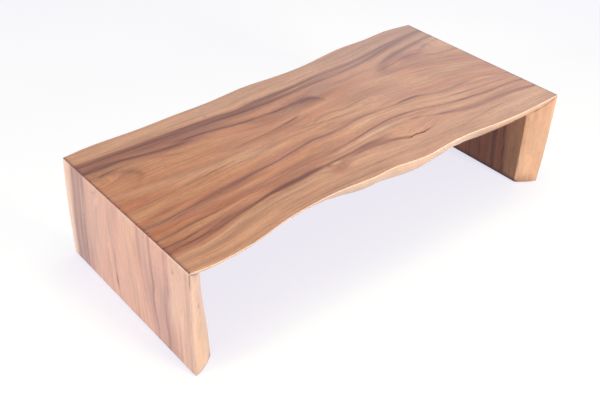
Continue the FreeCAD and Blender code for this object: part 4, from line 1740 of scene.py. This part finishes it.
@dataclass
class TopSlab(Slab):
    """The top, mitred at both ends."""

    def ends(self, depth: Array) -> tuple[Array, Array]:
        """Both ends follow their mitres."""
        return depth, SIZES.length - depth

    def shares(self) -> Array:
        """Set the loop evenly, with one more beside each folded corner.

        Returns:
            Shares of the run, rising.
        """
        fold, beside = SIZES.fold_flat / SIZES.length, 2.25 * SIZES.fold_flat / SIZES.length
        middle = np.linspace(beside, 1 - beside, round(SIZES.length / self.mesh_step))
        return np.concatenate(([0, fold], middle, [1 - fold, 1]))

    def placed(self, run: Array, across: Array, depth: Array) -> Array:
        """Points with the run along X and the depth down from the top."""
        return np.stack([run - SIZES.length / 2, across, SIZES.height - depth], axis=-1)

    def unplaced(self, points: Array) -> tuple[Array, Array, Array]:
        """Run along X, depth down from the top."""
        return points[:, 0] + SIZES.length / 2, points[:, 1], SIZES.height - points[:, 2]

    def plank_run(self, run: Array) -> Array:
        """The top lies in the middle of the unfolded plank."""
        return run

    def eased(self, share: Array, depth: Array) -> Array:
        """Both folded corners have a small flat."""
        at_fold = (share == 0) | (share == 1)
        return np.where(at_fold, np.maximum(depth, SIZES.fold_flat / 2), depth)

    def from_fold(self, run: Array) -> Array:
        """The top has a folded corner at both ends."""
        return np.minimum(run, SIZES.length - run)

    def cutters(self) -> list[bmesh.types.BMesh]:
        """Mortises in both mitres and the open check in the face."""
        return Mortises(End.LEFT).rooms() + Mortises(End.RIGHT).rooms() + [OpenCheck().room()]


@dataclass
class LegSlab(Slab):
    """A leg, mitred at the top and square at the foot.

    Its glue line is faint, its foot has a painted contact shadow, and the left one has a pale line below the fold,
    partly rubbed finish and partly painted highlight.
    """

    end: End = End.LEFT
    fold_dark: float = 0.4
    fold_reach: float = 0.002
    fold_depth: float = 0.002
    # Painted contact shadow along the foot, where it stands on the floor.
    foot_shadow_dark: float = 0.4
    inner_foot_shadow_dark: float = 0.6
    foot_shadow_reach: float = 0.003
    inner_foot_shadow_reach: float = 0.009
    # Pale line below the fold on the left leg: partly rubbed finish, partly painted highlight.
    fold_rub_and_highlight_run: float = 0.0035
    fold_rub_and_highlight_reach: float = 0.002
    fold_rub_and_highlight_back: float = 0.05
    fold_rub_and_highlight_front: float = 0.4

    def ends(self, depth: Array) -> tuple[Array, Array]:
        """The mitre above and the level foot below."""
        return depth, depth * 0 + SIZES.leg_run

    def shares(self) -> Array:
        """Set the loop evenly, with a few more beside the fold and the foot.

        Returns:
            Shares of the run, rising.
        """
        fold, foot = SIZES.fold_flat / SIZES.leg_run, 1 - SIZES.foot_flat / SIZES.leg_run
        middle = np.linspace(3.75 * fold, 2 * foot - 1, round(SIZES.leg_run / self.mesh_step))
        return np.concatenate(([0, fold, 2.25 * fold], middle, [foot, 1]))

    def placed(self, run: Array, across: Array, depth: Array) -> Array:
        """Points with the run downward and the depth in from the outer face."""
        return np.stack([self.end.value * (SIZES.length / 2 - depth), across, SIZES.height - run], axis=-1)

    def unplaced(self, points: Array) -> tuple[Array, Array, Array]:
        """Run downward, depth in from the outer face."""
        return SIZES.height - points[:, 2], points[:, 1], SIZES.length / 2 - self.end.value * points[:, 0]

    def plank_run(self, run: Array) -> Array:
        """The leg goes on from its end of the top."""
        return -run if self.end is End.LEFT else SIZES.length + run

    def eased(self, share: Array, depth: Array) -> Array:
        """Ease both ends: a small flat at the fold and a chamfer at the foot.

        Args:
            share: Shares of the run.
            depth: Depths of the loop.

        Returns:
            The eased depths.
        """
        folded = np.where(share == 0, np.maximum(depth, SIZES.fold_flat / 2), depth)
        held = np.clip(depth, SIZES.foot_flat, SIZES.thickness - SIZES.foot_flat)
        return np.where(share == 1, held, folded)

    def painted_foot_shadow(self, run: Array, depth: Array) -> Array:
        """A painted contact shadow along the foot, strongest on the inner face."""
        strength = self.foot_shadow_dark + self.inner_foot_shadow_dark * self.inwardness(depth)
        return strength * bell(SIZES.leg_run - run, self.foot_shadow_reach + self.inner_foot_shadow_reach * self.inwardness(depth))

    def from_fold(self, run: Array) -> Array:
        """A leg has its folded corner at the top."""
        return run

    def rub_and_painted_highlight(self, run: Array, across: Array, depth: Array) -> Array:
        """How far the finish is rubbed pale on the arrises and, on the left leg, in a line below the fold, with a
        painted highlight laid over both.

        Args:
            run: Runs of the points.
            across: Places across.
            depth: Depths.

        Returns:
            Strength of the wear and its painted highlight, which grows to the front along the fold.
        """
        arrises = super().rub_and_painted_highlight(run, across, depth)
        if self.end is End.RIGHT:
            return arrises
        strength = self.fold_rub_and_highlight_back + self.fold_rub_and_highlight_front * smooth_step(0.3 - across / 0.5)
        rubbing_and_painted_highlight = strength * bell(run - self.fold_rub_and_highlight_run, self.fold_rub_and_highlight_reach) * (depth < self.fold_depth)
        return np.maximum(arrises, rubbing_and_painted_highlight)

    def cutters(self) -> list[bmesh.types.BMesh]:
        """Mortises in the mitre and recesses in the foot."""
        return Mortises(self.end).rooms() + GlideRecesses(self.end).rooms()


def live_edges(front: tuple[Station, ...], back: tuple[Station, ...], run: float) -> dict[str, LiveEdge]:
    """Both live edges of a slab by the names of its fields."""
    return {"front": LiveEdge(Side.FRONT, front, run), "back": LiveEdge(Side.BACK, back, run)}


@dataclass
class Plank:
    """The sawn and folded plank: the top and both legs."""

    long_grain: LongGrain = LongGrain()
    end_grain: EndGrain = EndGrain()

    def slabs(self) -> list[Slab]:
        """Saw the plank in three.

        Returns:
            The three slabs, from left to right.
        """
        return [
            LegSlab("left_leg_slab", "left_leg", figure=LEFT_LEG_FIGURE, end=End.LEFT,
                    edge_knots=(EdgeKnot(Side.FRONT, 138, 36, 7, 4.5, 0.75),),
                    **live_edges(LEFT_LEG_FRONT, LEFT_LEG_BACK, SIZES.leg_run)),
            TopSlab("live_edge_top", "top_slab", figure=TOP_FIGURE, **live_edges(TOP_FRONT, TOP_BACK, SIZES.length)),
            LegSlab("right_leg_slab", "right_leg", figure=RIGHT_LEG_FIGURE, end=End.RIGHT,
                    edge_knots=(EdgeKnot(Side.FRONT, 352, 38, 48, 80, 0.8, Tone.RED),
                                EdgeKnot(Side.FRONT, 354, 60, 30, 50, 0.45)),
                    **live_edges(RIGHT_LEG_FRONT, RIGHT_LEG_BACK, SIZES.leg_run)),
        ]

    def build(self) -> None:
        """Make and dress the slabs."""
        long_grain = self.long_grain.material()
        end_grain = self.end_grain.material()
        for slab in self.slabs():
            piece = slab.build()
            slab.dress(long_grain, end_grain)
            log.info("%s: %d faces", piece.name, len(piece.data.polygons))


@dataclass(frozen=True)
class SmallParts:
    """Loose tenons and floor glides, which keep their solids and get their finishes."""

    tenon: TenonWood = TenonWood()
    plastic: MouldedPlastic = MouldedPlastic()
    felt: PressedFelt = PressedFelt()
    steel: ZincSteel = ZincSteel()

    def dress(self) -> None:
        """Give each small part its material."""
        finishes = {
            "tenon": (self.tenon.material(), Slot.TENON),
            "cup": (self.plastic.material(), Slot.PLASTIC),
            "felt": (self.felt.material(), Slot.FELT),
            "screw": (self.steel.material(), Slot.STEEL),
        }
        for name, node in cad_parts.items():
            for word, (material, slot) in finishes.items():
                if word in name.split("_"):
                    node.data.materials.clear()
                    node.data.materials.append(material)
                    log.info("%s: %s", name, material.name)


@dataclass(frozen=True)
class Lamp:
    """A large soft lamp that faces the table: its place, the side of its square face and its power in watts.

    A low lamp has no glare, because the gloss of the top would mirror it as a white patch.
    """

    name: str
    place: Place
    size: float
    power: float
    glare: bool = True
    aim: Place = (0, 0, 0.25)

    def hang(self) -> None:
        """Hang the lamp."""
        data = bpy.data.lights.new(self.name, "AREA")
        data.size = self.size
        data.energy = self.power
        lamp = bpy.data.objects.new(self.name, data)
        lamp.visible_glossy = self.glare
        lamp.location = self.place
        lamp.rotation_euler = (Vector(self.aim) - Vector(self.place)).to_track_quat("-Z", "Y").to_euler()
        bpy.context.scene.collection.objects.link(lamp)


@dataclass(frozen=True)
class Studio:
    """Pale floor, soft light and camera."""

    floor_size: float = 60.0
    floor_white: Colour = (0.40, 0.40, 0.405)
    lit_white: Colour = (0.40, 0.405, 0.23)
    glow_white: Colour = (0.825, 0.82, 1.0)
    glow: float = 0.80
    wall_white: Colour = (0.95, 0.95, 1.0)
    wall_low: float = 0.40
    wall_high: float = 0.58
    wall_dim: float = 0.2
    sky_white: Colour = (1.0, 0.99, 0.98)
    sky: float = 0.25
    near: float = 1.5
    far: float = 3.2
    eye: Place = (-1.5628, -1.634765, 1.664833)
    aim: Place = (0.945656, -0.041446, -0.704951)
    lens: float = 49.694
    sensor: float = 36.0
    sight: float = 200.0
    lamps: tuple[Lamp, ...] = (
        Lamp("front_light", (0.7, -4.4, 1.3), 1.6, 200.0, glare=False),
        Lamp("top_light", (0.3, 0.2, 3.6), 2.0, 51.0),
        Lamp("side_light", (-4.4, 0.3, 0.9), 1.4, 140.0, glare=False),
        Lamp("back_light", (4.1, 2.7, 2.6), 2.4, 14.0),
    )

    def build(self) -> None:
        """Set up the floor, the lights, the surroundings and the camera."""
        self.floor()
        for lamp in self.lamps:
            lamp.hang()
        self.surroundings()
        self.camera()
        bpy.context.scene.view_settings.view_transform = "Standard"

    def floor(self) -> None:
        """Lay a plain pale floor that keeps the table's shadow."""
        half = self.floor_size / 2
        mesh = bpy.data.meshes.new("floor")
        corners = [(-half, -half, 0), (half, -half, 0), (half, half, 0), (-half, half, 0)]
        mesh.from_pydata(corners, [], [(0, 1, 2, 3)])
        floor = bpy.data.objects.new("floor", mesh)
        bpy.context.scene.collection.objects.link(floor)
        mesh.materials.append(self.floor_material())

    def floor_material(self) -> bpy.types.Material:
        """Make the floor's finish: near the table it keeps a soft shadow, and far from it it is evenly lit.

        Returns:
            Matt white that the eye sees paler than the light that it throws back.
        """
        material = bpy.data.materials.new("pale_floor")
        paint = Nodes(material)
        matt = paint.add("BsdfDiffuse", {"Color": self.floor_white}).outputs["BSDF"]
        lit = paint.add("BsdfDiffuse", {"Color": self.lit_white}).outputs["BSDF"]
        glow = paint.add("Emission", {"Color": self.glow_white, "Strength": self.glow}).outputs["Emission"]
        near = paint.add("AddShader", {0: lit, 1: glow}).outputs["Shader"]
        far = paint.add("Emission", {"Color": self.wall_white}).outputs["Emission"]
        place = paint.add("NewGeometry").outputs["Position"]
        distance = paint.add("VectorMath", {0: place}, operation="LENGTH").outputs["Value"]
        farness = paint.remap(distance, self.near, self.far, smooth=True)
        faded = paint.add("MixShader", {0: farness, 1: near, 2: far}).outputs["Shader"]
        chosen = paint.add("MixShader", {0: paint.seen(), 1: matt, 2: faded}).outputs["Shader"]
        paint.add("OutputMaterial", {"Surface": chosen})
        return material

    def surroundings(self) -> None:
        """Pale surroundings: soft light for the table, and a white wall up to head height for its gloss."""
        world = bpy.data.worlds.new("studio")
        bpy.context.scene.world = world
        sky = Nodes(world)
        soft = sky.add("Background", {"Color": self.sky_white, "Strength": self.sky}).outputs["Background"]
        height = sky.add("SeparateXYZ", {"Vector": sky.add("TexCoord").outputs["Generated"]}).outputs["Z"]
        white = sky.remap(height, self.wall_low, self.wall_high, 1.0, self.wall_dim, smooth=True)
        wall = sky.add("Background", {"Color": self.wall_white, "Strength": white}).outputs["Background"]
        chosen = sky.add("MixShader", {0: sky.seen(), 1: soft, 2: wall}).outputs["Shader"]
        sky.add("OutputWorld", {"Surface": chosen})

    def camera(self) -> None:
        """Stand the camera where the photograph was taken from."""
        data = bpy.data.cameras.new("camera")
        data.sensor_fit = "HORIZONTAL"
        data.sensor_width = self.sensor
        data.lens = self.lens
        data.clip_end = self.sight
        camera = bpy.data.objects.new("camera", data)
        camera.location = self.eye
        camera.rotation_euler = self.aim
        bpy.context.scene.collection.objects.link(camera)
        bpy.context.scene.camera = camera


def main() -> None:
    """Build the table's looks and the studio round it."""
    logging.basicConfig(level=logging.INFO, format="%(name)s: %(message)s")
    Plank().build()
    SmallParts().dress()
    Studio().build()


if __name__ == "__main__":
    main()
